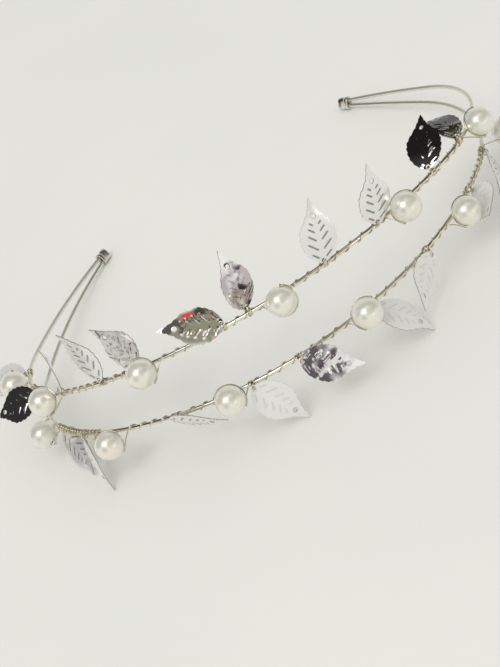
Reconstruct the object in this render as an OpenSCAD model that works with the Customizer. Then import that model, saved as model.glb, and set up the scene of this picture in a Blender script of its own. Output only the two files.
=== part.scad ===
// Leaf tiara: two sprung wires that carry pearls and stamped leaves, with a sleeve at each end.
// The crown of the band faces -Y, the two legs end near +Y, and Z = 0 is the surface it lies on.
// A place on a wire is its station: the distance along the wire from its front-most point,
// growing to the right. There N points outward, T along the wire and U across the band's plane.

/* [Main wires] */
// Diameter of a main wire
wire_d = 1.2; // [1:0.1:1.3]
// Distance from the legs' ends to the crown of the upper wire
upper_reach = 111; // [108:0.5:114]
// Distance from the legs' ends to the crown of the lower wire
lower_reach = 118.5; // [116:0.5:121]
// Rise of the upper wire from its ends to the crown, in degrees
upper_tilt = 13; // [12:0.5:14]
// Rise of the lower wire from its ends to the crown, in degrees
lower_tilt = 6.5; // [6:0.25:7]

/* [End sleeves] */
// Depth of the pocket that holds the wires' ends
sleeve_depth = 2.8; // [2:0.1:4]
// Thickness of the sleeve's round wall
sleeve_wall = 0.5; // [0.45:0.05:0.6]
// Thickness of the sleeve's closed end
sleeve_end = 0.8; // [0.5:0.1:1.5]

/* [Binding] */
// Diameter of the binding wire
binding_d = 0.36; // [0.2:0.02:0.36]
// Length of one turn where the binding is open
open_pitch = 3.8; // [3:0.1:6]
// Length of one turn beside a corner of the band
corner_pitch = 2.6; // [2:0.1:4]
// Length of one turn where the binding is close
close_pitch = 1.7; // [1.5:0.1:3]

/* [Pearls] */
// Diameter of a pearl
pearl_d = 8; // [7:0.1:8]
// Diameter of the bore through a pearl
bore_d = 1.05; // [1:0.05:1.4]

/* [Leaves] */
// Length of a leaf from the hole in its base to its tip
leaf_l = 16.6; // [15:0.1:17]
// Full width of a leaf
leaf_w = 9.7; // [8:0.1:9.8]
// Thickness of the sheet
sheet_t = 0.3; // [0.2:0.05:0.3]
// Sheet behind the hole in the base
base_edge = 0.8; // [0.75:0.05:0.85]
// Diameter of the hole in the base
base_hole_d = 1.2; // [1.1:0.05:1.2]
// How much narrower the leaf is drawn out toward its tip
tip_taper = 0.5; // [0:0.05:0.5]
// Diameter of the hole near the tip
tip_hole_d = 1.2; // [0.8:0.1:1.4]
// Distance from the base hole to the hole near the tip
tip_hole_u = 11.9; // [11:0.1:12.5]
// Teeth along each edge
teeth = 9; // [5:1:11]
// Depth of a tooth
tooth_h = 0.3; // [0.1:0.05:0.4]
// Pressed veins on each side of the midrib
veins = 5; // [1:1:5]
// Height of a vein above the sheet
vein_h = 0.12; // [0.05:0.01:0.2]

/* [Hidden] */
// Middle of the tiara's box, seen from above
middle = [-5.79, -62.03];
pocket_gap = 0.15;
touch = 0.05;

// A main wire in its own plane: where its front-most point lies in x, its reach, its tilt,
// half the distance between its ends and their height, the crown's radius,
// and for each side the crown's angle, the corner's radius and the corner's angle
APEX_X = 0; REACH = 1; TILT = 2; HALF_SPAN = 3; END_Z = 4; CROWN_R = 5; LEFT = 6; RIGHT = 7;
CROWN_A = 0; CORNER_R = 1; CORNER_A = 2;
UPPER = [-3, upper_reach, upper_tilt, 45.6, 2.3, 97, [36, 37, 74], [35, 46, 82.5]];
LOWER = [-6, lower_reach, lower_tilt, 44.7, 1.05, 83, [44, 40, 63], [53.5, 50, 66.5]];

// Pearls: station, clock angle of the pearl from N toward U, distance of its centre from the
// wire, turn of its bore out of the wire's direction, and clock angle of the side on which a loop
// of binding passes round it, counted round the bore from the way the pearl stands off
STATION = 0; CLOCK = 1; OUT = 2; BORE = 3; LOOP = 4;
UPPER_PEARLS = [
    [-92, 23, 4.7, -50, -110],
    [-71.5, 12, 4.7, -58, 120],
    [-38.5, 5, 4.7, -58, 120],
    [1.5, 0, 4.7, 60, -80],
    [40.5, 2, 4.7, 45, 120],
    [75.5, 12, 4.7, 58, 120],
];
LOWER_PEARLS = [
    [-83.5, -5, 4.7, -30, -110],
    [-56, -10, 4.7, -50, 120],
    [-19, 11, 4.7, -40, 120],
    [20.5, 14, 4.7, 45, 110],
    [59.5, 5, 4.7, 35, 120],
    [95, -12, 7, 0, 100],
];

// Leaves: station, lift out of the band's plane, swing from N toward T, roll about the leaf,
// radius of its curl (below zero when the veined side is hollow), clock angle of its tie
LIFT = 1; SWING = 2; ROLL = 3; CURL = 4; TIE = 5;
UPPER_LEAVES = [
    [-99.25, -2, -29, -33, 30, 4],
    [-81, -9, -53, -48, 30, -7],
    [-67.75, 66, 73, 67, -30, 67],
    [-52.5, 77, -97, -99, -30, 61],
    [-42, 53, -116, -68, -18, 173],
    [-14.5, 26, -82, -62, 40, 66],
    [-7, 83, 136, 82, 26, 109],
    [16, 72, 100, 81, 40, 52],
    [33, 70.5, 44, 138, 40, 35],
    [55.5, 33, 120, 5, 40, 112],
    [69.25, 8, 156, 15, 9.5, 78],
];
LOWER_LEAVES = [
    [-80, -33, 75, 45, -80, -95],
    [-67.25, -47, 53, 74, 40, -23],
    [-36, -10, 77, 118, 80, 14],
    [-13, -58, 79, 65, 40, -24],
    [1, -25, 67, 69, 26, -21],
    [24, -50.5, 54, 14, 26, -65],
    [45, -23, -69, -87, -26, -52],
    [69.25, 1, -54, 42, -26, -14],
    [87, -18, -82, -84, 26, -38],
];

// Stations where the binding of each wire starts and ends, and the pitch of each run
UPPER_ENDS = [-100, 84];
LOWER_ENDS = [-91, 103];
UPPER_PITCH = [close_pitch, close_pitch, corner_pitch, open_pitch, open_pitch, open_pitch,
               close_pitch];
LOWER_PITCH = [close_pitch, close_pitch, open_pitch, open_pitch, open_pitch, corner_pitch,
               close_pitch];

// Sizes of the binding that follow from the wires and pearls
helix_rings = 7;
winding_gap = 0.06;
helix_r = (wire_d / 2 + binding_d / 2 + winding_gap) / cos(180 / helix_rings);
binding_sides = 5;
wire_sides = 8;
ring_sag = 0.02;
tie_gap = 0.18;
tie_back = helix_r + binding_d + tie_gap;
tie_reach = 1.95;
tie_r = (tie_reach + tie_back) / 2;
loop_r = pearl_d / 2 + 0.35;
strand_gap = 0.27;
leg_from_pearl = pearl_d / 2 + 0.9;
mouth_from_pearl = pearl_d / 2 + 0.12;
turn_from_pearl = pearl_d / 2 + 0.4;
turn_drop = 0.55;

metal = "gainsboro";
leaf_metal = "silver";
nacre = "ivory";

// An arc in the wire's plane is [start, heading, radius, angle], and it turns to the left
function arc_point(arc, turn) =
    arc[0] + arc[2] * [sin(arc[1] + turn) - sin(arc[1]), cos(arc[1]) - cos(arc[1] + turn)];
function arc_length(arc) = arc[2] * arc[3] * PI / 180;

// The arc that leaves a point at a heading and ends on a second point
function arc_to(start, heading, goal) =
    let (chord = goal - start,
         side = cos(heading) * chord.y - sin(heading) * chord.x,
         r = chord * chord / (2 * side))
    [start, heading, r, 2 * asin(norm(chord) / (2 * r))];

// One side of a wire from its front-most point: crown, corner and leg, with the left side mirrored
function side_arcs(wire, side) =
    let (shape = wire[side < 0 ? LEFT : RIGHT],
         crown = [[side * wire[APEX_X], 0], 0, wire[CROWN_R], shape[CROWN_A]],
         corner = [arc_point(crown, crown[3]), shape[CROWN_A], shape[CORNER_R], shape[CORNER_A]],
         heading = shape[CROWN_A] + shape[CORNER_A])
    [crown, corner,
     arc_to(arc_point(corner, corner[3]), heading, [wire[HALF_SPAN], wire[REACH]])];

// Point and heading in the plane at a distance from the front-most point
function along(arcs, far, i = 0) =
    i == len(arcs) - 1 || far <= arc_length(arcs[i])
    ? let (turn = far / arcs[i][2] * 180 / PI) [arc_point(arcs[i], turn), arcs[i][1] + turn]
    : along(arcs, far - arc_length(arcs[i]), i + 1);

// Place and directions at a station: [point, N, T, U]
function frame_at(wire, station) =
    let (side = station < 0 ? -1 : 1,
         here = along(side_arcs(wire, side), abs(station)),
         back = wire[REACH] - here[0].y,
         tilt = wire[TILT],
         t = [cos(here[1]), side * sin(here[1]) * cos(tilt), -side * sin(here[1]) * sin(tilt)],
         u = [0, sin(tilt), cos(tilt)])
    [[side * here[0].x, -back * cos(tilt), wire[END_Z] + back * sin(tilt)], cross(t, u), t, u];

function clock_dir(frame, clock) = cos(clock) * frame[1] + sin(clock) * frame[3];
function unit(v) = v / norm(v);

// Centre of a pearl, the way it stands off, the way of its bore and the way across both
function pearl_frame(wire, row) =
    let (frame = frame_at(wire, row[STATION]),
         off = clock_dir(frame, row[CLOCK]),
         bore = cos(row[BORE]) * frame[2] + sin(row[BORE]) * cross(off, frame[2]))
    [frame[0] + row[OUT] * off, off, bore, cross(off, bore)];

// Puts what is drawn along X, Y and Z along a frame's N, T and U
module at_frame(frame) {
    multmatrix([for (k = [0 : 2]) [frame[1][k], frame[2][k], frame[3][k], frame[0][k]]]) children();
}

// Moves the whole tiara so that its box is centred on the origin
module placed() {
    translate([-middle.x, -middle.y, 0]) children();
}

// Rings of a sweep along points: each ring's axes are carried on from the ring before it
function tangents(points, closed) =
    let (n = len(points))
    [for (i = [0 : n - 1])
        unit(closed ? points[(i + 1) % n] - points[(i + n - 1) % n]
                    : points[min(i + 1, n - 1)] - points[max(i - 1, 0)])];
function carried(ways, first) =
    [for (i = 0, e = unit(cross(cross(ways[0], first), ways[0])); i < len(ways);
          i = i + 1, e = i < len(ways) ? unit(e - (e * ways[i]) * ways[i]) : e) e];

module sweep(points, first, d, k, closed = false) {
    n = len(points);
    ways = tangents(points, closed);
    sides = carried(ways, first);
    ring_points = [for (i = [0 : n - 1], j = [0 : k - 1])
        points[i] + d / 2
            * (cos(360 * j / k) * sides[i] + sin(360 * j / k) * cross(ways[i], sides[i]))];
    last = closed ? n - 1 : n - 2;
    walls = [for (i = [0 : last], j = [0 : k - 1])
        let (a = i * k, b = ((i + 1) % n) * k, next = (j + 1) % k)
        [a + j, b + j, b + next, a + next]];
    ends = closed ? [] : [[for (j = [0 : k - 1]) j], [for (j = [k - 1 : -1 : 0]) (n - 1) * k + j]];
    polyhedron(ring_points, concat(walls, ends));
}

// Stations of a main wire's rings: each arc in equal steps, short where the arc is tight
function arc_steps(arc) = ceil(arc_length(arc) / sqrt(8 * arc[2] * ring_sag));
function side_stations(arcs, from = 0, i = 0) =
    i == len(arcs) ? []
    : let (n = arc_steps(arcs[i]), far = arc_length(arcs[i]))
        concat([for (k = [1 : n]) from + far * k / n], side_stations(arcs, from + far, i + 1));

module main_wire(wire) {
    left = side_stations(side_arcs(wire, -1));
    right = side_stations(side_arcs(wire, 1));
    stations = concat([for (i = [len(left) - 1 : -1 : 0]) -left[i]], [0], right);
    color(metal)
        sweep([for (s = stations) frame_at(wire, s)[0]], [0, 0, 1], wire_d, wire_sides);
}

// An end sleeve: a flattened tube closed at its end, with its underside cut flat to lie on
module end_cap(side) {
    frames = [for (wire = [UPPER, LOWER])
        let (arcs = side_arcs(wire, side),
             whole = arc_length(arcs[0]) + arc_length(arcs[1]) + arc_length(arcs[2]))
        frame_at(wire, side * (whole - sleeve_depth / 2))];
    axis = side * unit(frames[0][2] + frames[1][2]);
    apart = frames[0][0] - frames[1][0];
    across = unit(apart - (apart * axis) * axis);
    span = apart * across;
    mid = (frames[0][0] + frames[1][0]) / 2;
    bore_r = wire_d / 2 + pocket_gap;
    closed_at = sleeve_depth / 2 + abs(apart * axis) / 2 + pocket_gap;
    length = sleeve_depth / 2 + closed_at;
    color(metal)
        intersection() {
            at_frame([mid, cross(across, axis), across, axis])
                translate([0, 0, -sleeve_depth / 2])
                    difference() {
                        linear_extrude(length + sleeve_end) slot_shape(span, bore_r + sleeve_wall);
                        translate([0, 0, -1]) linear_extrude(length + 1) slot_shape(span, bore_r);
                    }
            translate([mid.x - 10, mid.y - 10, 0]) cube(20);
        }
}

module slot_shape(span, r) {
    square([2 * r, span], center = true);
    for (end = [-1, 1]) translate([0, end * span / 2]) circle(r, $fn = 48);
}

// A drilled pearl
module pearl(wire, row) {
    color(nacre)
        at_frame(pearl_frame(wire, row))
            rotate([-90, 0, 0])
                difference() {
                    sphere(d = pearl_d, $fn = 64);
                    cylinder(d = bore_d, h = pearl_d + 1, center = true, $fn = 32);
                }
}

// Distance of a leaf's edge from its midrib, where v runs from the base edge at 0 to the tip at 1
edge_power = 0.68;
edge_peak = pow(edge_power / (1 + edge_power), edge_power) / (1 + edge_power);
taper_from = 0.5;
taper_to = 0.88;
function tapered(v) =
    let (share = min(1, max(0, (v - taper_from) / (taper_to - taper_from))))
    1 - tip_taper * share * share * (3 - 2 * share);
function half_width(v) = leaf_w / 2 * pow(v, edge_power) * (1 - v) / edge_peak * tapered(v);

// A curled leaf is part of a tube round the Y axis: flat distance u from the base hole becomes x
function half_turn(curl) = leaf_l / (2 * curl) * 180 / PI;
function turn_at(curl, u) = half_turn(curl) - u / curl * 180 / PI;
function curled_x(curl, u) = curl * (sin(half_turn(curl)) - sin(turn_at(curl, u)));
function curled_z(curl, u) = curl * (cos(turn_at(curl, u)) - cos(half_turn(curl)));

module leaf_outline(curl) {
    base = [0, 0.006, 0.02, 0.05];
    first_tooth = 0.08;
    last_tooth = 0.95;
    step = (last_tooth - first_tooth) / teeth;
    edge = concat(
        [for (v = base) [v, half_width(v)]],
        [for (i = [0 : teeth - 1]) let (v = first_tooth + i * step)
            each [[v, half_width(v) - tooth_h / 2],
                  [v + step * 0.9, half_width(v + step * 0.9) + tooth_h / 2]]],
        [[1, 0]]);
    function place(p, side) = [curled_x(curl, p[0] * (leaf_l + base_edge) - base_edge), side * p[1]];
    polygon(concat([for (p = edge) place(p, 1)],
                   [for (i = [len(edge) - 2 : -1 : 1]) place(edge[i], -1)]));
}

// Veins: where one starts along the midrib from the base hole, where it starts beside the midrib,
// and its length
VEIN_U = 0; VEIN_V = 1; VEIN_L = 2;
VEINS = [
    [1.1, 0.7, 2.2],
    [3.3, 0.45, 3.2],
    [5.8, 0.45, 2.6],
    [8.0, 0.45, 2.0],
    [9.9, 0.45, 1.5],
];

module vein_marks(curl) {
    shortest = 0.4;
    vein_w = 0.8;
    slope = 50;
    farthest_u = 1.5;
    margin = 1.2;
    function corner(row, far, off) =
        [row[VEIN_U] + far * cos(slope) - off * sin(slope),
         row[VEIN_V] + far * sin(slope) + off * cos(slope)];
    for (side = [-1, 1], i = [0 : veins - 1])
        let (row = VEINS[i],
             edge = half_width((row[VEIN_U] + farthest_u + base_edge) / (leaf_l + base_edge)),
             far = min(row[VEIN_L], max(shortest, (edge - row[VEIN_V] - margin) / sin(slope))),
             marks = [corner(row, 0, 0), corner(row, far, 0), corner(row, far, vein_w),
                      corner(row, 0, vein_w)])
            polygon([for (p = marks) [curled_x(curl, p[0]), side * p[1]]]);
}

// The part of a tube wall round Y that the leaf takes, between two distances from the mid-surface
module curled_wall(curl, inner, outer) {
    flip = curl > 0 ? 1 : -1;
    radii = [abs(curl) + min(flip * inner, flip * outer), abs(curl) + max(flip * inner, flip * outer)];
    translate([curl * sin(half_turn(curl)), 0, -curl * cos(half_turn(curl))])
        rotate([90, 0, 0])
            difference() {
                cylinder(r = radii[1], h = leaf_w + 2, center = true, $fn = 240);
                cylinder(r = radii[0], h = leaf_w + 4, center = true, $fn = 240);
            }
}

module stamped_leaf(curl) {
    slab = 5;
    difference() {
        union() {
            intersection() {
                curled_wall(curl, -sheet_t / 2, sheet_t / 2);
                translate([0, 0, -slab / 2]) linear_extrude(slab + 5) leaf_outline(curl);
            }
            intersection() {
                curled_wall(curl, sheet_t / 2 - touch, sheet_t / 2 + vein_h);
                translate([0, 0, -slab / 2]) linear_extrude(slab + 5) vein_marks(curl);
            }
        }
        for (hole = [[0, base_hole_d], [tip_hole_u, tip_hole_d]])
            translate([curled_x(curl, hole[0]), 0, curled_z(curl, hole[0])])
                rotate([0, -turn_at(curl, hole[0]), 0])
                    cylinder(d = hole[1], h = 2, center = true, $fn = 32);
    }
}

module leaf(wire, row) {
    frame = frame_at(wire, row[STATION]);
    color(leaf_metal)
        at_frame(frame)
            translate(tie_reach * [cos(row[TIE]), 0, sin(row[TIE])])
                rotate([row[ROLL], -row[LIFT], row[SWING]])
                    stamped_leaf(row[CURL]);
}

// Turns a direction as a leaf's roll, lift and swing turn the leaf
function turned(v, row) =
    let (rolled = [v.x, v.y * cos(row[ROLL]) - v.z * sin(row[ROLL]),
                   v.y * sin(row[ROLL]) + v.z * cos(row[ROLL])],
         lifted = [rolled.x * cos(row[LIFT]) - rolled.z * sin(row[LIFT]), rolled.y,
                   rolled.x * sin(row[LIFT]) + rolled.z * cos(row[LIFT])])
    [lifted.x * cos(row[SWING]) - lifted.y * sin(row[SWING]),
     lifted.x * sin(row[SWING]) + lifted.y * cos(row[SWING]), lifted.z];

// The small ring that ties a leaf's base to its wire, turned to pass square through the leaf's hole
module leaf_tie(wire, row) {
    base_turn = half_turn(row[CURL]);
    reach = [cos(row[TIE]), 0, sin(row[TIE])];
    axis = unit(cross(reach, turned([-sin(base_turn), 0, cos(base_turn)], row)));
    at_frame(frame_at(wire, row[STATION]))
        at_frame([(tie_reach - tie_r) * reach, reach, cross(axis, reach), axis])
            rotate_extrude($fn = 48) translate([tie_r, 0]) circle(d = binding_d, $fn = 16);
}

// The loop of binding that passes through a pearl and back round one of its sides
module pearl_loop(wire, row) {
    frame = pearl_frame(wire, row);
    side = clock_dir(frame, row[LOOP]);
    start = asin(strand_gap / loop_r);
    points = [for (i = [0 : 14]) let (a = start + (180 - 2 * start) * i / 14)
        frame[0] + loop_r * (cos(a) * frame[2] + sin(a) * side)];
    sweep(points, cross(frame[2], side), binding_d, binding_sides, closed = true);
}

// Points of the binding's winding from one station to another, starting and ending at a clock angle
function winding(wire, from, to, clock_from, clock_to, pitch) =
    let (more = clock_to - clock_from,
         turns = max(1, round((to - from) / pitch - more / 360)) + more / 360,
         n = ceil(turns * helix_rings))
    [for (i = [0 : n]) let (frame = frame_at(wire, from + (to - from) * i / n))
        frame[0] + helix_r * clock_dir(frame, clock_from + 360 * turns * i / n)];

// Points of the binding as it leaves the winding, runs through a pearl and comes back
function through(wire, row) =
    let (frame = pearl_frame(wire, row),
         bore = frame[0] - strand_gap * clock_dir(frame, row[LOOP]),
         drop = turn_drop * frame[1])
    [bore - turn_from_pearl * frame[2] - drop, bore - mouth_from_pearl * frame[2],
     bore + mouth_from_pearl * frame[2], bore + turn_from_pearl * frame[2] - drop];

module binding(wire, pearls, leaves, ends, pitches) {
    n = len(pearls);
    route = [for (i = [0 : n])
        each concat(
            winding(wire,
                i == 0 ? ends[0] : pearls[i - 1][STATION] + leg_from_pearl,
                i == n ? ends[1] : pearls[i][STATION] - leg_from_pearl,
                pearls[max(i - 1, 0)][CLOCK], pearls[min(i, n - 1)][CLOCK], pitches[i]),
            i == n ? [] : through(wire, pearls[i]))];
    color(metal) {
        sweep(route, frame_at(wire, ends[0])[1], binding_d, binding_sides);
        for (row = pearls) pearl_loop(wire, row);
        for (row = leaves) leaf_tie(wire, row);
    }
}

module upper_wire() { placed() main_wire(UPPER); }
module lower_wire() { placed() main_wire(LOWER); }
module left_end_cap() { placed() end_cap(-1); }
module right_end_cap() { placed() end_cap(1); }
module upper_binding_wire() {
    placed() binding(UPPER, UPPER_PEARLS, UPPER_LEAVES, UPPER_ENDS, UPPER_PITCH);
}
module lower_binding_wire() {
    placed() binding(LOWER, LOWER_PEARLS, LOWER_LEAVES, LOWER_ENDS, LOWER_PITCH);
}

upper_wire();
lower_wire();
left_end_cap();
right_end_cap();
upper_binding_wire();
lower_binding_wire();
for (i = [1 : len(UPPER_PEARLS)])
    placed() pearl(UPPER, UPPER_PEARLS[i - 1]);
for (i = [1 : len(LOWER_PEARLS)])
    placed() pearl(LOWER, LOWER_PEARLS[i - 1]);
for (i = [1 : len(UPPER_LEAVES)])
    placed() leaf(UPPER, UPPER_LEAVES[i - 1]);
for (i = [1 : len(LOWER_LEAVES)])
    placed() leaf(LOWER, LOWER_LEAVES[i - 1]);
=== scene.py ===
"""Leaf tiara: two sprung wires, bound pearls and stamped silver leaves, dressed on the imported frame.

Lengths are in millimetres in the tiara's own design frame until a mesh is made: the crown faces
-Y, the legs end near Y = 0 and Z = 0 is the surface it lies on. A place on a main wire is its
station, the distance along the wire from its front-most point, growing to the right. There
"out" points away from the head, "along" runs with the wire and "up" stands across the band.
A clock angle turns from out toward up.
"""

import logging
import math
from dataclasses import dataclass, field
from enum import Enum
from typing import Any, Iterable, Sequence

import bpy
import numpy as np
from mathutils import Matrix, Vector
from mathutils.geometry import delaunay_2d_cdt

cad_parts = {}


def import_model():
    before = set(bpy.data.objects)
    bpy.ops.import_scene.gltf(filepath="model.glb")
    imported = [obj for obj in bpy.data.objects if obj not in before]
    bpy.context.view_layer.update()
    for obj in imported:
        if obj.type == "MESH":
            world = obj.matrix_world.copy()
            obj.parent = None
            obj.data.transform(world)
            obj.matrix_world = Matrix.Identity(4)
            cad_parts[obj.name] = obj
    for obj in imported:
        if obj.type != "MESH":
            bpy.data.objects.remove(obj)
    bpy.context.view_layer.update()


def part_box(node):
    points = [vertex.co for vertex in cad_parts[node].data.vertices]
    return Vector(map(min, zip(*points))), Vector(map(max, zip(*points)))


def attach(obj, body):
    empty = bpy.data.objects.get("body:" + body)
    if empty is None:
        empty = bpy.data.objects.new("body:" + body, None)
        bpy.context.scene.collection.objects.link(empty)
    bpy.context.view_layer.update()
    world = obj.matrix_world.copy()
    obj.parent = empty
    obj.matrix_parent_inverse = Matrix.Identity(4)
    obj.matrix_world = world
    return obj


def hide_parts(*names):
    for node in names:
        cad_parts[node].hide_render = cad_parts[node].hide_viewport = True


LOG = logging.getLogger("leaf_tiara")
MM = 0.001
BODY = "root"

# Short names for types

Array = np.ndarray
Colour = tuple[float, float, float]
Material = bpy.types.Material
Mesh = bpy.types.Mesh
Piece = bpy.types.Object
Socket = bpy.types.NodeSocket
Tree = bpy.types.NodeTree

# Sizes that several pieces share: the main wires' thickness, the pearls' radius, and how far
# the hole in a leaf's base is from the middle of its wire

WIRE_D = 1.2
PEARL_R = 4.0
TIE_REACH = 1.95


# Paths of the two main wires


@dataclass(frozen=True)
class Arc:
    """An arc in a wire's own plane that turns to the left, with its angles in radians."""

    start: tuple[float, float]
    heading: float
    radius: float
    turn: float

    @property
    def length(self) -> float:
        """Length of the arc."""
        return self.radius * self.turn

    def at(self, far: float) -> tuple[float, float, float]:
        """Finds a place on the arc.

        Args:
            far: Distance from the arc's start.

        Returns:
            The place's x and y, and the heading there.
        """
        heading = self.heading + far / self.radius
        x = self.start[0] + self.radius * (math.sin(heading) - math.sin(self.heading))
        y = self.start[1] + self.radius * (math.cos(self.heading) - math.cos(heading))
        return x, y, heading


@dataclass(frozen=True)
class Shoulder:
    """The bends of one side of a main wire, crown first."""

    crown_deg: float
    corner_r: float
    corner_deg: float


@dataclass(frozen=True)
class PathFrame:
    """A point of a main wire with its three directions."""

    point: Array
    out: Array
    along: Array
    up: Array

    @property
    def basis(self) -> Array:
        """The three directions as the columns of a turn."""
        return np.stack([self.out, self.along, self.up], axis=1)

    def clock(self, degrees: float) -> Array:
        """Gives the direction at a clock angle round the wire."""
        angle = math.radians(degrees)
        return math.cos(angle) * self.out + math.sin(angle) * self.up


@dataclass(frozen=True)
class WirePlan:
    """The bent line of a main wire, which lies in a tilted plane.

    Attributes:
        apex_x: Where the front-most point lies in x.
        reach: Distance from the legs' ends to the crown.
        tilt_deg: Rise of the plane from the ends to the crown.
        half_span: Half the distance between the ends.
        end_z: Height of the ends.
    """

    apex_x: float
    reach: float
    tilt_deg: float
    half_span: float
    end_z: float
    crown_r: float
    left: Shoulder
    right: Shoulder

    def arcs(self, side: int) -> list[Arc]:
        """Lists the arcs of one side.

        Args:
            side: -1 for the left side, 1 for the right side.

        Returns:
            The crown, corner and leg arcs, with the left side mirrored.
        """
        bends = self.left if side < 0 else self.right
        crown_turn = math.radians(bends.crown_deg)
        crown = Arc((side * self.apex_x, 0.0), 0.0, self.crown_r, crown_turn)
        corner_start = crown.at(crown.length)
        corner = Arc(corner_start[:2], crown_turn, bends.corner_r, math.radians(bends.corner_deg))
        x, y, heading = corner.at(corner.length)
        chord = (self.half_span - x, self.reach - y)
        sideways = math.cos(heading) * chord[1] - math.sin(heading) * chord[0]
        radius = (chord[0] ** 2 + chord[1] ** 2) / (2 * sideways)
        leg = Arc((x, y), heading, radius, 2 * math.asin(math.hypot(*chord) / (2 * radius)))
        return [crown, corner, leg]

    def half_length(self, side: int) -> float:
        """Gives the length of one side, from the front-most point to the end."""
        return sum(arc.length for arc in self.arcs(side))

    def frame_at(self, station: float) -> PathFrame:
        """Finds the point and directions at a station.

        Args:
            station: Distance along the wire from its front-most point, growing to the right.

        Returns:
            The frame in the tiara's design frame.
        """
        side = -1 if station < 0 else 1
        far = abs(station)
        arcs = self.arcs(side)
        for arc in arcs[:-1]:
            if far <= arc.length:
                break
            far -= arc.length
        else:
            arc = arcs[-1]
        x, y, heading = arc.at(far)
        back = self.reach - y
        tilt = math.radians(self.tilt_deg)
        along = np.array([
            math.cos(heading),
            side * math.sin(heading) * math.cos(tilt),
            -side * math.sin(heading) * math.sin(tilt),
        ])
        up = np.array([0.0, math.sin(tilt), math.cos(tilt)])
        point = np.array([side * x, -back * math.cos(tilt), self.end_z + back * math.sin(tilt)])
        return PathFrame(point, np.cross(along, up), along, up)


# What each wire carries


@dataclass(frozen=True)
class PearlSeat:
    """Where a pearl sits on its wire.

    Attributes:
        clock: Clock angle of the pearl.
        off: Distance of its centre from the wire.
        bore: Turn of its bore out of the wire's direction, in degrees.
        loop: Clock angle of its loop, counted round the bore from the way it stands off.
    """

    station: float
    clock: float
    off: float
    bore: float
    loop: float

    def frame(self, plan: WirePlan) -> PathFrame:
        """Finds the pearl's own frame.

        Args:
            plan: Bent line of its wire.

        Returns:
            Its centre, with the way it stands off as out and the way of its bore as along.
        """
        place = plan.frame_at(self.station)
        off = place.clock(self.clock)
        turn = math.radians(self.bore)
        bore = math.cos(turn) * place.along + math.sin(turn) * np.cross(off, place.along)
        return PathFrame(place.point + self.off * off, off, bore, np.cross(off, bore))


class Temper(Enum):
    """How flat the sheet of a leaf has stayed."""

    STIFF = 0.012
    FLAT = 0.03
    WAVY = 0.08
    BUCKLED = 0.16


class Press(Enum):
    """How the veins show: the height of their ridge and the strength of the shade painted along it."""

    FAINT = (0.02, 0.22)
    THIN = (0.04, 0.95)
    BOLD = (0.165, 0.0)
    KEEN = (0.15, 0.5)


@dataclass(frozen=True)
class LeafSeat:
    """Where a leaf is tied and how it is turned there, in degrees.

    Attributes:
        lift: Lift out of the band's plane.
        swing: Swing from out toward along.
        roll: Roll about the leaf's own length.
        curl: Radius of the curl, below zero when the veined side is hollow.
        tie_clock: Clock angle of the hole in the base.
        satin: Share of its polish that has gone dull.
        painted_dark_reflection: Strength of a dark reflection painted into its colour, beyond its base.
        painted_patchy_reflection: Strength of the mauve and dark reflection patches painted into its colour,
            short of its tip.
        dish: Bend across the leaf, above zero when the veined side is full.
    """

    station: float
    lift: float
    swing: float
    roll: float
    curl: float
    tie_clock: float
    press: Press = Press.BOLD
    satin: float = 0.0
    painted_dark_reflection: float = 0.0
    painted_patchy_reflection: float = 0.0
    temper: Temper = Temper.FLAT
    dish: float = 0.004

    def turn(self) -> Matrix:
        """Gives the turn from the leaf's own axes to out, along and up."""
        return (
            Matrix.Rotation(math.radians(self.swing), 3, "Z")
            @ Matrix.Rotation(math.radians(-self.lift), 3, "Y")
            @ Matrix.Rotation(math.radians(self.roll), 3, "X")
        )


@dataclass(frozen=True)
class Row:
    """One main wire with all that is bound to it, from left to right.

    Attributes:
        name: Start of the names of the row's nodes.
        ends: Stations where the binding starts and ends.
        pitches: Length of one turn in each run between pearls.
    """

    name: str
    plan: WirePlan
    pearls: tuple[PearlSeat, ...]
    leaves: tuple[LeafSeat, ...]
    ends: tuple[float, float]
    pitches: tuple[float, ...]


# Length of one turn of the binding in its close runs, at the wires' bends and in its open runs
CLOSE, CORNER, OPEN = 1.3, 2.6, 3.8

UPPER = Row(
    name="upper",
    plan=WirePlan(-3, 111, 13, 45.6, 2.3, 97, Shoulder(36, 37, 74), Shoulder(35, 46, 82.5)),
    pearls=(
        PearlSeat(-92, 23, 4.7, -50, -110),
        PearlSeat(-71.5, 12, 4.7, -58, 120),
        PearlSeat(-38.5, 5, 4.7, -58, 120),
        PearlSeat(1.5, 0, 4.7, 60, -80),
        PearlSeat(40.5, 2, 4.7, 45, 120),
        PearlSeat(75.5, 12, 4.7, 58, 120),
    ),
    leaves=(
        LeafSeat(-99.25, -2, -29, -33, 30, 4, Press.FAINT, satin=0.8),
        LeafSeat(-81, -9, -53, -48, 30, -7),
        LeafSeat(-67.75, 66, 73, 67, -30, 67, Press.FAINT, satin=0.4),
        LeafSeat(-52.5, 77, -97, -99, -30, 61, Press.THIN, satin=0.45),
        LeafSeat(-42, 53, -116, -68, -18, 173, temper=Temper.WAVY),
        LeafSeat(-14.5, 26, -82, -62, 40, 66, temper=Temper.WAVY, dish=0.024),
        LeafSeat(-7, 83, 136, 82, 26, 109, Press.KEEN, painted_patchy_reflection=1.0, temper=Temper.BUCKLED),
        LeafSeat(16, 72, 100, 81, 40, 52, Press.THIN, satin=0.7),
        LeafSeat(33, 70.5, 44, 138, 40, 35, Press.THIN, satin=0.25, temper=Temper.WAVY),
        LeafSeat(55.5, 33, 120, 5, 40, 112, painted_dark_reflection=0.75, temper=Temper.STIFF, dish=0.0),
        LeafSeat(69.25, 8, 156, 15, 9.5, 78, painted_dark_reflection=0.85),
    ),
    ends=(-100, 84),
    pitches=(CLOSE, CLOSE, CORNER, OPEN, OPEN, OPEN, CLOSE),
)

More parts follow.
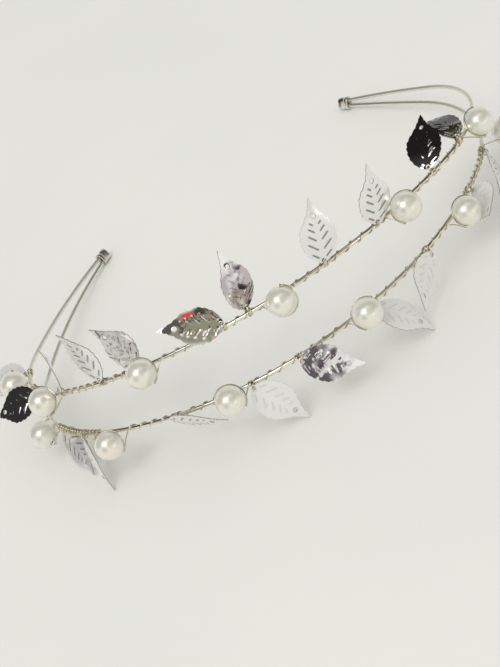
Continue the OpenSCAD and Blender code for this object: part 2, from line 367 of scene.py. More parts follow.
LOWER = Row(
    name="lower",
    plan=WirePlan(-6, 118.5, 6.5, 44.7, 1.05, 83, Shoulder(44, 40, 63), Shoulder(53.5, 50, 66.5)),
    pearls=(
        PearlSeat(-83.5, -5, 4.7, -30, -110),
        PearlSeat(-56, -10, 4.7, -50, 120),
        PearlSeat(-19, 11, 4.7, -40, 120),
        PearlSeat(20.5, 14, 4.7, 45, 110),
        PearlSeat(59.5, 5, 4.7, 35, 120),
        PearlSeat(95, -12, 7, 0, 100),
    ),
    leaves=(
        LeafSeat(-80, -33, 75, 45, -80, -95, Press.THIN, satin=0.5),
        LeafSeat(-67.25, -47, 53, 74, 40, -23, Press.FAINT, satin=0.4),
        LeafSeat(-36, -10, 77, 118, 80, 14, Press.THIN, satin=0.5),
        LeafSeat(-13, -58, 79, 65, 40, -24, Press.FAINT, satin=0.95),
        LeafSeat(1, -25, 67, 69, 26, -21, painted_patchy_reflection=0.25, temper=Temper.BUCKLED),
        LeafSeat(24, -50.5, 54, 14, 26, -65, Press.FAINT, satin=1.0),
        LeafSeat(45, -23, -69, -87, -26, -52, Press.FAINT, satin=0.6),
        LeafSeat(69.25, 1, -54, 42, -26, -14, Press.FAINT, satin=0.7),
        LeafSeat(87, -18, -82, -84, 26, -38, Press.THIN, satin=0.3),
    ),
    ends=(-91, 103),
    pitches=(CLOSE, CLOSE, OPEN, OPEN, OPEN, CORNER, CLOSE),
)


# Small tools for meshes and pieces


@dataclass
class Bench:
    """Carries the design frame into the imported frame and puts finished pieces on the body."""

    shift: Array = field(default_factory=lambda: np.zeros(3))

    @classmethod
    def from_frame(cls, row: Row) -> "Bench":
        """Finds the shift by comparing a row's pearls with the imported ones.

        Args:
            row: The row whose pearls are compared.

        Returns:
            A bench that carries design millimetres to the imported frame.
        """
        offsets = []
        for number, seat in enumerate(row.pearls, start=1):
            low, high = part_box(f"{row.name}_pearl_{number}")
            offsets.append(np.array((low + high) / 2) / MM - seat.frame(row.plan).point)
        return cls(np.mean(offsets, axis=0))

    def carry(self, points: Array) -> Array:
        """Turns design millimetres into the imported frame's metres."""
        return (np.asarray(points, dtype=float) + self.shift) * MM

    def piece(self, name: str, mesh: Mesh, slot: str, nodes: Sequence[str]) -> Piece:
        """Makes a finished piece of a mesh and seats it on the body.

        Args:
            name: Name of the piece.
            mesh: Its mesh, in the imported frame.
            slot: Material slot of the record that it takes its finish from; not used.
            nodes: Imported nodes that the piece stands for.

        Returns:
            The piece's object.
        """
        mesh.name = name
        piece = bpy.data.objects.new(name, mesh)
        bpy.context.scene.collection.objects.link(piece)
        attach(piece, BODY)
        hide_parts(*nodes)
        LOG.info("%s: %d faces", name, len(mesh.polygons))
        return piece


def unit(vector: Array) -> Array:
    """Gives a vector of length one."""
    return vector / np.linalg.norm(vector)


def mesh_of(name: str, points: Array, faces: Iterable[Sequence[int]], material: Material) -> Mesh:
    """Makes a smooth mesh.

    Args:
        name: Name of the mesh.
        points: Its points, in metres.
        faces: Its faces as tuples of point numbers, outward.
        material: The material of all faces.

    Returns:
        The mesh.
    """
    mesh = bpy.data.meshes.new(name)
    mesh.from_pydata(np.asarray(points).tolist(), [], [tuple(face) for face in faces])
    mesh.materials.append(material)
    mesh.shade_smooth()
    mesh.update()
    return mesh


def add_attribute(mesh: Mesh, name: str, values: Array) -> None:
    """Stores a number or a vector on each point of a mesh.

    Args:
        mesh: The mesh.
        name: Name of the attribute.
        values: One row for each point, of one or three numbers.
    """
    values = np.asarray(values, dtype=np.float32)
    kind = "FLOAT_VECTOR" if values.ndim == 2 else "FLOAT"
    attribute = mesh.attributes.new(name, kind, "POINT")
    attribute.data.foreach_set("vector" if values.ndim == 2 else "value", values.ravel())


def grid_faces(rings: int, sides: int, closed: bool = False) -> list[tuple[int, ...]]:
    """Lists the faces between rings of points that are each closed on themselves.

    Args:
        rings: Number of rings.
        sides: Points of a ring.
        closed: Whether the last ring also joins the first.

    Returns:
        The faces, outward when each ring turns left as seen from the last ring.
    """
    bands = rings if closed else rings - 1
    return [
        (ring * sides + side, ring * sides + (side + 1) % sides,
         (ring + 1) % rings * sides + (side + 1) % sides, (ring + 1) % rings * sides + side)
        for ring in range(bands)
        for side in range(sides)
    ]


# Small tools for node trees


class TreeBuilder:
    """Adds nodes and links to a node tree in few words."""

    def __init__(self, tree: Tree) -> None:
        """Keeps the tree that is built."""
        self.tree = tree

    def node(self, kind: str, feeds: dict[Any, Any] | None = None, **settings: Any) -> bpy.types.Node:
        """Adds a node.

        Args:
            kind: Identifier of the node's type.
            feeds: What goes into its inputs, by name or number: a socket or a plain value.
            **settings: Properties of the node.

        Returns:
            The node.
        """
        node = self.tree.nodes.new(kind)
        for key, value in settings.items():
            setattr(node, key, value)
        for key, value in (feeds or {}).items():
            if isinstance(value, Socket):
                self.tree.links.new(value, node.inputs[key])
            else:
                node.inputs[key].default_value = value
        return node

    def math(self, operation: str, first: Any, second: Any = 0.0, clamp: bool = False) -> Socket:
        """Adds a maths node and gives its result."""
        node = self.node("ShaderNodeMath", {0: first, 1: second}, operation=operation, use_clamp=clamp)
        return node.outputs[0]

    def added(self, first: Any, second: Any, clamp: bool = False) -> Socket:
        """Adds a node that sums two numbers and gives the sum."""
        return self.math("ADD", first, second, clamp)

    def times(self, first: Any, second: Any, clamp: bool = False) -> Socket:
        """Adds a node that multiplies two numbers and gives the product."""
        return self.math("MULTIPLY", first, second, clamp)

    def vector(self, operation: str, first: Any, second: Any = (0.0, 0.0, 0.0)) -> Socket:
        """Adds a vector maths node and gives its vector."""
        return self.node("ShaderNodeVectorMath", {0: first, 1: second}, operation=operation).outputs[0]

    def scaled(self, vector: Any, factor: Any) -> Socket:
        """Adds a node that lengthens a vector and gives the longer vector."""
        feeds = {0: vector, "Scale": factor}
        return self.node("ShaderNodeVectorMath", feeds, operation="SCALE").outputs[0]

    def ranged(self, value: Any, low: Any, high: Any) -> Socket:
        """Adds a node that eases a number from 0 at low to 1 at high and gives its result."""
        feeds = {"Value": value, "From Min": low, "From Max": high}
        return self.node("ShaderNodeMapRange", feeds, interpolation_type="SMOOTHSTEP").outputs[0]

    def mixed(self, factor: Any, first: Any, second: Any) -> Socket:
        """Adds a node that mixes two colours and gives the mix."""
        return self.node("ShaderNodeMix", {0: factor, 6: first, 7: second}, data_type="RGBA").outputs[2]

    def noise(self, place: Any, scale: Any, detail: float = 2.0, roughness: float = 0.5) -> Socket:
        """Adds a noise texture and gives its value."""
        feeds = {"Vector": place, "Scale": scale, "Detail": detail, "Roughness": roughness}
        return self.node("ShaderNodeTexNoise", feeds).outputs["Fac"]

    def bump(self, height: Any, depth: float, strength: float = 1.0) -> Socket:
        """Adds a bump node whose depth is in millimetres and gives its normal."""
        feeds = {"Height": height, "Distance": depth * MM, "Strength": strength}
        return self.node("ShaderNodeBump", feeds).outputs["Normal"]

    def object_place(self) -> Socket:
        """Adds a node that gives the place on the object."""
        return self.node("ShaderNodeTexCoord").outputs["Object"]

    def attribute(self, name: str, output: str = "Fac") -> Socket:
        """Adds a node that reads a point attribute in a material."""
        return self.node("ShaderNodeAttribute", attribute_name=name).outputs[output]

    def named(self, name: str, kind: str) -> Socket:
        """Adds a node that reads a point attribute in Geometry Nodes."""
        reader = self.node("GeometryNodeInputNamedAttribute", {"Name": name}, data_type=kind)
        return reader.outputs["Attribute"]

    def surface(self, feeds: dict[str, Any]) -> None:
        """Adds the Principled shader with its inputs and the material's output."""
        shader = self.node("ShaderNodeBsdfPrincipled", feeds)
        self.node("ShaderNodeOutputMaterial", {"Surface": shader.outputs["BSDF"]})


def rgba(colour: Colour) -> tuple[float, float, float, float]:
    """Adds full opacity to a colour."""
    return (*colour, 1.0)


def socketed_tree(kind: str, name: str, inputs: Sequence[tuple[str, str, Any]],
                  outputs: Sequence[tuple[str, str]]) -> Tree:
    """Makes an empty node tree with named sockets.

    Args:
        kind: Identifier of the tree's type.
        name: Name of the tree.
        inputs: Name, socket type and first value of each input, None where it has no value.
        outputs: Name and socket type of each output.

    Returns:
        The tree.
    """
    tree = bpy.data.node_groups.new(name, kind)
    for label, socket, value in inputs:
        made = tree.interface.new_socket(name=label, in_out="INPUT", socket_type=socket)
        if value is not None:
            made.default_value = value
    for label, socket in outputs:
        tree.interface.new_socket(name=label, in_out="OUTPUT", socket_type=socket)
    return tree


# Geometry Nodes trees


class WireTrees:
    """The Geometry Nodes trees that draw wire along lines of points."""

    RING = "ring"
    ALONG = "along"

    def __init__(self) -> None:
        """Builds each tree once."""
        self.drawn = self._drawn_tree()
        self.wound = self._wound_tree()
        self.tied = self._tied_tree()

    def _start(self, name: str, extra: Sequence[tuple[str, str, Any]] = ()) -> tuple[TreeBuilder, Any]:
        """Starts a tree that takes a line and gives wire.

        Args:
            name: Name of the tree.
            extra: Name, socket type and first value of each input that only this tree has.

        Returns:
            The tree's builder and the sockets of its inputs.
        """
        inputs = [
            ("Geometry", "NodeSocketGeometry", None),
            ("Radius", "NodeSocketFloat", 0.5 * MM),
            ("Sides", "NodeSocketInt", 12),
            *extra,
            ("Material", "NodeSocketMaterial", None),
        ]
        tree = socketed_tree("GeometryNodeTree", name, inputs, [("Geometry", "NodeSocketGeometry")])
        build = TreeBuilder(tree)
        return build, build.node("NodeGroupInput").outputs

    def _finish(self, build: TreeBuilder, given: Any, curve: Any) -> Tree:
        """Sweeps a round section along a curve and ends the tree.

        Args:
            build: Builder of the tree.
            given: Sockets of the tree's inputs.
            curve: Socket that gives the curve.

        Returns:
            The finished tree.
        """
        section = build.node(
            "GeometryNodeCurvePrimitiveCircle",
            {"Resolution": given["Sides"], "Radius": given["Radius"]},
            mode="RADIUS",
        )
        turn = build.vector("NORMALIZE", build.node("GeometryNodeInputPosition").outputs[0])
        marked = build.node(
            "GeometryNodeStoreNamedAttribute",
            {"Geometry": section.outputs["Curve"], "Name": self.RING, "Value": turn},
            data_type="FLOAT_VECTOR", domain="POINT",
        )
        made = build.node(
            "GeometryNodeCurveToMesh",
            {"Curve": curve, "Profile Curve": marked.outputs["Geometry"], "Fill Caps": True},
        ).outputs["Mesh"]
        for kind in ("GeometryNodeSetShadeSmooth", "GeometryNodeRealizeInstances"):
            made = build.node(kind, {"Geometry": made}).outputs["Geometry"]
        dressed = build.node("GeometryNodeSetMaterial", {"Geometry": made, "Material": given["Material"]})
        build.node("NodeGroupOutput", {"Geometry": dressed.outputs["Geometry"]})
        return build.tree

    def _drawn_tree(self) -> Tree:
        """Builds the tree of a wire that follows its line.

        Returns:
            The tree.
        """
        build, given = self._start("drawn_wire")
        curve = build.node("GeometryNodeMeshToCurve", {"Mesh": given["Geometry"]}).outputs["Curve"]
        return self._finish(build, given, curve)

    def _wound_tree(self) -> Tree:
        """Builds the tree of a wire wound round its line.

        Each point of the line holds the turn's phase, how far the winding stands off, and the
        two directions across the line.

        Returns:
            The tree.
        """
        build, given = self._start("wound_wire")
        phase = build.named("phase", "FLOAT")
        outward = build.scaled(build.named("out", "FLOAT_VECTOR"), build.math("COSINE", phase))
        upward = build.scaled(build.named("up", "FLOAT_VECTOR"), build.math("SINE", phase))
        offset = build.scaled(build.vector("ADD", outward, upward), build.named("stand_off", "FLOAT"))
        moved = build.node("GeometryNodeSetPosition", {"Geometry": given["Geometry"], "Offset": offset})
        curve = build.node("GeometryNodeMeshToCurve", {"Mesh": moved.outputs["Geometry"]}).outputs["Curve"]
        return self._finish(build, given, curve)

    def _tied_tree(self) -> Tree:
        """Builds the tree that puts a small coil on each point, turned by the point's axes.

        Returns:
            The tree.
        """
        extra = [
            ("Coil radius", "NodeSocketFloat", 1.6 * MM),
            ("Coil turns", "NodeSocketFloat", 2.0),
            ("Coil height", "NodeSocketFloat", 0.4 * MM),
            ("Coil points", "NodeSocketInt", 48),
            ("Coil slimness", "NodeSocketFloat", 0.6),
        ]
        build, given = self._start("tied_coils", extra)
        coil = build.node(
            "GeometryNodeCurveSpiral",
            {"Resolution": given["Coil points"], "Rotations": given["Coil turns"],
             "Start Radius": given["Coil radius"], "End Radius": given["Coil radius"],
             "Height": given["Coil height"]},
        ).outputs["Curve"]
        half_drop = build.times(given["Coil height"], -0.5)
        drop = build.node("ShaderNodeCombineXYZ", {"Z": half_drop}).outputs[0]
        stretch = {"X": 1.0, "Y": given["Coil slimness"], "Z": 1.0}
        slim = build.node("ShaderNodeCombineXYZ", stretch).outputs[0]
        turned = build.node(
            "GeometryNodeTransform",
            {"Geometry": coil, "Translation": drop, "Rotation": (0.0, 0.0, math.pi), "Scale": slim},
        ).outputs["Geometry"]
        axes = {"Primary Axis": build.named("axis", "FLOAT_VECTOR"),
                "Secondary Axis": build.named("reach", "FLOAT_VECTOR")}
        facing = build.node("FunctionNodeAxesToRotation", axes, primary_axis="Z", secondary_axis="X")
        coils = build.node(
            "GeometryNodeInstanceOnPoints",
            {"Points": given["Geometry"], "Instance": turned, "Rotation": facing.outputs[0]},
        ).outputs["Instances"]
        real = build.node("GeometryNodeRealizeInstances", {"Geometry": coils}).outputs["Geometry"]
        return self._finish(build, given, real)

    @staticmethod
    def run(tree: Tree, line: Mesh, values: dict[str, Any]) -> Mesh:
        """Runs a tree on a line and gives a plain mesh.

        Args:
            tree: The Geometry Nodes tree.
            line: Points and edges that it reads.
            values: Values of its named inputs.

        Returns:
            The finished mesh, with no modifier left.
        """
        carrier = bpy.data.objects.new("line", line)
        bpy.context.scene.collection.objects.link(carrier)
        modifier = carrier.modifiers.new("wire", "NODES")
        modifier.node_group = tree
        items = tree.interface.items_tree
        sockets = {item.name: item.identifier for item in items if item.in_out == "INPUT"}
        for name, value in values.items():
            modifier[sockets[name]] = value
        graph = bpy.context.evaluated_depsgraph_get()
        mesh = bpy.data.meshes.new_from_object(carrier.evaluated_get(graph), depsgraph=graph)
        carrier.modifiers.clear()
        bpy.data.objects.remove(carrier)
        bpy.data.meshes.remove(line)
        return mesh


def line_mesh(points: Array, closed: bool = False) -> Mesh:
    """Makes a mesh of one line of points.

    Args:
        points: The points, in metres.
        closed: Whether the last point joins the first.

    Returns:
        The mesh, with edges and no faces.
    """
    count = len(points)
    edges = [(i, i + 1) for i in range(count - 1)] + ([(count - 1, 0)] if closed else [])
    mesh = bpy.data.meshes.new("line")
    mesh.from_pydata(np.asarray(points).tolist(), edges, [])
    return mesh


# Finishes


def shader_group(name: str, values: dict[str, Colour | float | None],
                 outputs: Sequence[str]) -> tuple[TreeBuilder, Any]:
    """Starts a shader node group.

    Args:
        name: Name of the group.
        values: First value of each input: a colour, a number, or None for a vector.
        outputs: Names of its outputs, which are numbers, but for the colour.

    Returns:
        The group's builder and the sockets of its inputs.
    """
    inputs = []
    for label, value in values.items():
        if value is None:
            inputs.append((label, "NodeSocketVector", None))
        elif isinstance(value, tuple):
            inputs.append((label, "NodeSocketColor", rgba(value)))
        else:
            inputs.append((label, "NodeSocketFloat", value))
    kinds = [(label, "NodeSocketColor" if label == "Colour" else "NodeSocketFloat") for label in outputs]
    build = TreeBuilder(socketed_tree("ShaderNodeTree", name, inputs, kinds))
    return build, build.node("NodeGroupInput").outputs


def metal_group() -> Tree:
    """Builds the shared marks of plated metal: cloudy tone, fine streaks and small pits.

    Returns:
        The group.
    """
    pit_fineness, pit_share = 9.0, 0.25
    streak_height, pit_height = 0.7, 0.3
    values = {
        "Place": None, "Streak place": None, "Tone": (0.9, 0.9, 0.9), "Worn tone": (0.6, 0.6, 0.6),
        "Cloud scale": 200.0, "Wear": 0.2, "Roughness": 0.1, "Roughness spread": 0.05,
    }
    build, given = shader_group("plated_metal", values, ("Colour", "Roughness", "Height"))
    clouds = build.noise(given["Place"], given["Cloud scale"], detail=4.0, roughness=0.6)
    streaks = build.noise(given["Streak place"], 1.0, detail=3.0, roughness=0.6)
    pits = build.noise(given["Place"], build.times(given["Cloud scale"], pit_fineness))
    worn = build.ranged(build.added(clouds, build.times(pits, pit_share)), low=0.56, high=0.78)
    worn = build.times(worn, given["Wear"], clamp=True)
    colour = build.mixed(worn, given["Tone"], given["Worn tone"])
    spread = build.times(build.math("SUBTRACT", streaks, 0.5), given["Roughness spread"])
    marks = build.times(worn, given["Roughness spread"])
    rough = build.added(given["Roughness"], build.added(spread, marks), clamp=True)
    height = build.added(build.times(streaks, streak_height), build.times(pits, pit_height))
    build.node("NodeGroupOutput", {"Colour": colour, "Roughness": rough, "Height": height})
    return build.tree


def shade_group() -> Tree:
    """Builds the look of stamped sheet: painted mauve and dark reflections, shade painted along the
    veins and round the holes, dull satin and darker cut edges.

    The mood holds the strengths of the satin, of the painted dark reflection and of the painted
    reflection patches.

    Returns:
        The group.
    """
    patch_scale = 0.27
    painted_shade_dulls, cut_dulls, satin_dulls, satin_unmetals = 0.2, 0.3, 0.25, 0.95
    values = {
        "Colour": (0.8, 0.8, 0.8), "Roughness": 0.1, "Painted shade": 0.0, "Cut": 0.0,
        "Painted shade tone": (0.2, 0.2, 0.2), "Cut tone": (0.3, 0.3, 0.3), "Mood": None, "Patch place": None,
        "Satin tone": (0.7, 0.7, 0.7), "Painted dark reflection tone": (0.065, 0.062, 0.068), "Painted mauve reflection tone": (0.63, 0.56, 0.60),
    }
    build, given = shader_group("crease_shade", values, ("Colour", "Roughness", "Metallic"))
    satin, painted_dark_reflection, painted_patchy_reflection = build.node("ShaderNodeSeparateXYZ", {0: given["Mood"]}).outputs
    patches = build.noise(given["Patch place"], patch_scale, detail=1.0)
    # Painted reflections in patches: mauve where the noise is above about a half, dark blots where it is
    # higher still.
    mauve = build.times(build.ranged(patches, low=0.34, high=0.50), painted_patchy_reflection)
    painted_dark_blots = build.times(build.ranged(patches, low=0.60, high=0.70), painted_patchy_reflection)
    # Mixed in order: painted mauve and dark reflections, the dull satin tone, the painted shade and the
    # darker cut edge.
    layers = ((mauve, "Painted mauve reflection"), (painted_dark_blots, "Painted dark reflection"), (painted_dark_reflection, "Painted dark reflection"), (satin, "Satin"),
              (given["Painted shade"], "Painted shade"), (given["Cut"], "Cut"))
    colour = given["Colour"]
    for strength, tone in layers:
        colour = build.mixed(strength, colour, given[f"{tone} tone"])
    dulled = build.added(build.times(given["Painted shade"], painted_shade_dulls), build.times(given["Cut"], cut_dulls))
    dulled = build.added(dulled, build.times(satin, satin_dulls))
    rough = build.added(given["Roughness"], dulled, clamp=True)
    metallic = build.math("SUBTRACT", 1.0, build.times(satin, satin_unmetals))
    build.node("NodeGroupOutput", {"Colour": colour, "Roughness": rough, "Metallic": metallic})
    return build.tree


def nacre_group() -> Tree:
    """Builds the pearls' cloudy overtone, with a fine unevenness.

    Returns:
        The group.
    """
    green_shift, green_fineness, green_share = (0.37, 0.11, 0.53), 1.7, 0.7
    grain_fineness, grain_spread = 14.0, 0.06
    values = {
        "Place": None, "Body tone": (0.9, 0.87, 0.78), "Rose tone": (0.95, 0.85, 0.78),
        "Green tone": (0.86, 0.88, 0.78), "Cloud scale": 260.0, "Roughness": 0.2,
    }
    build, given = shader_group("nacre", values, ("Colour", "Roughness", "Height"))
    clouds = build.noise(given["Place"], given["Cloud scale"], detail=3.0, roughness=0.55)
    shifted = build.vector("ADD", given["Place"], green_shift)
    second_scale = build.times(given["Cloud scale"], green_fineness)
    second = build.noise(shifted, second_scale, detail=3.0, roughness=0.55)
    grain_scale = build.times(given["Cloud scale"], grain_fineness)
    grain = build.noise(given["Place"], grain_scale, detail=3.0, roughness=0.6)
    rose = build.mixed(build.ranged(clouds, low=0.42, high=0.72), given["Body tone"], given["Rose tone"])
    green = build.times(build.ranged(second, low=0.45, high=0.75), green_share)
    colour = build.mixed(green, rose, given["Green tone"])
    rough = build.added(given["Roughness"], build.times(build.math("SUBTRACT", grain, 0.5), grain_spread))
    build.node("NodeGroupOutput", {"Colour": colour, "Roughness": rough, "Height": grain})
    return build.tree


@dataclass(frozen=True)
class MetalFinish:
    """A bright plated metal.

    Attributes:
        cloud_scale: Patches in a metre.
        wear: Strength of the patches.
        spread: How far the roughness varies.
        bump: Depth of the streaks, in millimetres.
        streak: Streaks round the section and along the wire, in a unit and in a millimetre.
        dull_from: Stations between which the polish of a wire goes dull.
        dulling: Roughness that it gains there.
        dull_tone: Colour that it takes there.
    """

    name: str
    tone: Colour
    worn_tone: Colour
    cloud_scale: float
    wear: float
    roughness: float
    spread: float
    bump: float
    streak: tuple[float, float] = (6.0, 0.35)
    dull_from: tuple[float, float] = (96.0, 118.0)
    dulling: float = 0.0
    dull_tone: Colour = (0.88, 0.90, 0.84)
    dull_share: float = 0.8

    def _marks(self, build: TreeBuilder, group: Tree, streak_place: Any) -> Any:
        """Places the shared marks of plated metal in a material.

        Args:
            build: Builder of the material.
            group: Shared marks of plated metal.
            streak_place: Socket of the place in which the streaks run along Z.

        Returns:
            The sockets of colour, roughness and height.
        """
        return build.node(
            "ShaderNodeGroup",
            {"Place": build.object_place(), "Streak place": streak_place, "Tone": rgba(self.tone),
             "Worn tone": rgba(self.worn_tone), "Cloud scale": self.cloud_scale, "Wear": self.wear,
             "Roughness": self.roughness, "Roughness spread": self.spread},
            node_tree=group,
        ).outputs

    def _close(self, build: TreeBuilder, colour: Any, rough: Any, height: Any, metallic: Any = 1.0) -> None:
        """Adds the shader and the output of a metal."""
        build.surface({"Base Color": colour, "Metallic": metallic, "Roughness": rough,
                       "Normal": build.bump(height, self.bump)})

    def wire(self, group: Tree) -> Material:
        """Makes the material of a drawn wire, whose streaks run with the wire.

        Args:
            group: Shared marks of plated metal.

        Returns:
            The material.
        """
        material, build = new_material(self.name)
        along = build.attribute(WireTrees.ALONG)
        ring = build.scaled(build.attribute(WireTrees.RING, "Vector"), self.streak[0])
        lift = build.node("ShaderNodeCombineXYZ", {"Z": build.times(along, self.streak[1])}).outputs[0]
        marks = self._marks(build, group, build.vector("ADD", ring, lift))
        far_back = build.ranged(build.math("ABSOLUTE", along), *self.dull_from)
        rough = build.added(marks["Roughness"], build.times(far_back, self.dulling))
        grey = build.times(far_back, self.dull_share if self.dulling else 0.0)
        self._close(build, build.mixed(grey, marks["Colour"], rgba(self.dull_tone)), rough, marks["Height"])
        return material

    def solid(self, group: Tree) -> Material:
        """Makes the material of a small pressed part, with marks in no one direction.

        Args:
            group: Shared marks of plated metal.

        Returns:
            The material.
        """
        material, build = new_material(self.name)
        streak_scale = self.cloud_scale * self.streak[0]
        marks = self._marks(build, group, build.scaled(build.object_place(), streak_scale))
        self._close(build, marks["Colour"], marks["Roughness"], marks["Height"])
        return material

    def stamped(self, group: Tree, shade: Tree, painted_shade_tone: Colour, cut_tone: Colour,
                satin_tone: Colour) -> Material:
        """Makes the material of a stamped leaf.

        Args:
            group: Shared marks of plated metal.
            shade: Shade of stamped sheet.
            painted_shade_tone: Colour of the shade painted along the veins and round the holes.
            cut_tone: Colour of the cut edge.
            satin_tone: Colour where the polish has gone dull.

        Returns:
            The material.
        """
        material, build = new_material(self.name)
        flat = build.attribute("flat_place", "Vector")
        marks = self._marks(build, group, build.vector("MULTIPLY", flat, (*self.streak, 1.0)))
        # The shade group mixes the painted reflections and the painted shade into the colour.
        shaded = build.node(
            "ShaderNodeGroup",
            {"Colour": marks["Colour"], "Roughness": marks["Roughness"], "Painted shade": build.attribute("painted_shade"),
             "Cut": build.attribute("cut"), "Painted shade tone": rgba(painted_shade_tone), "Cut tone": rgba(cut_tone),
             "Mood": build.attribute("mood", "Vector"), "Patch place": flat, "Satin tone": rgba(satin_tone)},
            node_tree=shade,
        ).outputs
        self._close(build, shaded["Colour"], shaded["Roughness"], marks["Height"], shaded["Metallic"])
        return material


def new_material(name: str) -> tuple[Material, TreeBuilder]:
    """Makes a material with an empty node tree and its builder."""
    material = bpy.data.materials.new(name)
    material.use_nodes = True
    material.node_tree.nodes.clear()
    return material, TreeBuilder(material.node_tree)


@dataclass(frozen=True)
class NacreFinish:
    """The lacquered nacre of a pearl.

    Attributes:
        rim: Colour of the sheen painted toward the outline.
        lacquer_roughness: Roughness of the lacquer.
        glow: Share of the light that goes under the surface.
        glow_reach: How far each colour goes there, in millimetres.
        grain: Depth of the fine unevenness, in millimetres.
        cloud_scale: Clouds in a metre.
    """

    name: str = "cream_nacre"
    body: Colour = (0.86, 0.85, 0.765)
    rose: Colour = (0.90, 0.84, 0.74)
    green: Colour = (0.81, 0.825, 0.73)
    rim: Colour = (0.97, 0.93, 0.83)
    rim_sheen_blend: float = 0.35
    rim_sheen_share: float = 0.5
    metallic: float = 0.42
    roughness: float = 0.32
    lacquer_roughness: float = 0.19
    lacquer_ior: float = 1.5
    glow: float = 0.15
    glow_reach: Colour = (1.0, 0.8, 0.6)
    grain: float = 0.004
    grain_strength: float = 0.6
    cloud_scale: float = 230.0

    def material(self, group: Tree) -> Material:
        """Makes the pearls' material.

        Args:
            group: Shared cloudy overtone.

        Returns:
            The material.
        """
        material, build = new_material(self.name)
        nacre = build.node(
            "ShaderNodeGroup",
            {"Place": build.object_place(), "Body tone": rgba(self.body), "Rose tone": rgba(self.rose),
             "Green tone": rgba(self.green), "Cloud scale": self.cloud_scale, "Roughness": self.roughness},
            node_tree=group,
        ).outputs
        # A lighter, warmer sheen painted toward the pearl's outline, where the surface turns away from the
        # view.
        facing = build.node("ShaderNodeLayerWeight", {"Blend": self.rim_sheen_blend}).outputs["Facing"]
        rim_sheened = build.mixed(build.times(facing, self.rim_sheen_share), nacre["Colour"], rgba(self.rim))
        build.surface({
            "Base Color": rim_sheened, "Metallic": self.metallic, "Roughness": nacre["Roughness"],
            "Subsurface Weight": self.glow, "Subsurface Radius": self.glow_reach,
            "Subsurface Scale": MM, "Coat Weight": 1.0, "Coat Roughness": self.lacquer_roughness,
            "Coat IOR": self.lacquer_ior,
            "Normal": build.bump(nacre["Height"], self.grain, self.grain_strength),
        })
        return material


@dataclass(frozen=True)
class FloorFinish:
    """The pale surface that the tiara lies on.

    Attributes:
        grain: Depth of the grain, in millimetres.
        sheen: How much it mirrors.
    """

    name: str = "pale_floor"
    tone: Colour = (0.795, 0.795, 0.765)
    shade_tone: Colour = (0.775, 0.775, 0.75)
    cloud_scale: float = 9.0
    grain_scale: float = 900.0
    grain: float = 0.02
    grain_strength: float = 0.5
    roughness: float = 0.55
    sheen: float = 0.3

    def material(self) -> Material:
        """Makes the floor's material, with a faint unevenness.

        Returns:
            The material.
        """
        material, build = new_material(self.name)
        place = build.object_place()
        clouds = build.noise(place, self.cloud_scale, detail=3.0)
        grain = build.noise(place, self.grain_scale, detail=3.0, roughness=0.6)
        shade = build.ranged(clouds, low=0.35, high=0.7)
        colour = build.mixed(shade, rgba(self.tone), rgba(self.shade_tone))
        build.surface({"Base Color": colour, "Roughness": self.roughness, "Specular IOR Level": self.sheen,
                       "Normal": build.bump(grain, self.grain, self.grain_strength)})
        return material


@dataclass
class Finishes:
    """All materials of the tiara, each made once."""

    champagne_wire: Material
    binding: Material
    leaf: Material
    sleeve: Material
    nacre: Material
    floor: Material

    @classmethod
    def make(cls) -> "Finishes":
        """Builds the shared groups and the materials that use them.

        Returns:
            All materials.
        """
        metal = metal_group()
        shade = shade_group()
        wire = MetalFinish(
            "champagne_wire", tone=(0.91, 0.875, 0.75), worn_tone=(0.60, 0.55, 0.41), cloud_scale=260,
            wear=0.35, roughness=0.08, spread=0.08, bump=0.004, dulling=0.34,
        )
        binding = MetalFinish(
            "binding_wire", tone=(0.80, 0.76, 0.62), worn_tone=(0.44, 0.39, 0.27), cloud_scale=500,
            wear=0.5, roughness=0.10, spread=0.12, bump=0.003,
        )
        leaf = MetalFinish(
            "stamped_silver", tone=(0.95, 0.95, 0.945), worn_tone=(0.80, 0.79, 0.77), cloud_scale=170,
            wear=0.25, roughness=0.045, spread=0.05, bump=0.003, streak=(1.1, 0.5),
        )
        sleeve = MetalFinish(
            "crimped_sleeve", tone=(0.86, 0.84, 0.78), worn_tone=(0.48, 0.46, 0.40), cloud_scale=420,
            wear=0.6, roughness=0.18, spread=0.12, bump=0.010, streak=(3.0, 1.0),
        )
        return cls(
            champagne_wire=wire.wire(metal),
            binding=binding.wire(metal),
            leaf=leaf.stamped(metal, shade, painted_shade_tone=(0.10, 0.10, 0.10), cut_tone=(0.42, 0.41, 0.40),
                              satin_tone=(0.76, 0.76, 0.75)),
            sleeve=sleeve.solid(metal),
            nacre=NacreFinish().material(nacre_group()),
            floor=FloorFinish().material(),
        )


# The pieces


@dataclass
class MainWire:
    """A sprung wire that bears everything else of its row."""

    bench: Bench
    trees: WireTrees
    row: Row
    material: Material
    diameter: float = WIRE_D
    sides: int = 20
    step: float = 0.9

    def line(self) -> tuple[Array, Array]:
        """Samples the wire from its left end to its right end.

        Returns:
            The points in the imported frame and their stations.
        """
        plan = self.row.plan
        low, high = -plan.half_length(-1), plan.half_length(1)
        stations = np.linspace(low, high, int((high - low) / self.step))
        return self.bench.carry(np.array([plan.frame_at(s).point for s in stations])), stations

    def build(self) -> Piece:
        """Makes the main wire.

        Returns:
            The piece.
        """
        points, stations = self.line()
        line = line_mesh(points)
        add_attribute(line, WireTrees.ALONG, stations)
        values = {"Radius": self.diameter / 2 * MM, "Sides": self.sides, "Material": self.material}
        mesh = self.trees.run(self.trees.drawn, line, values)
        return self.bench.piece(f"{self.row.name}_sprung_wire", mesh, "wire", [f"{self.row.name}_wire"])


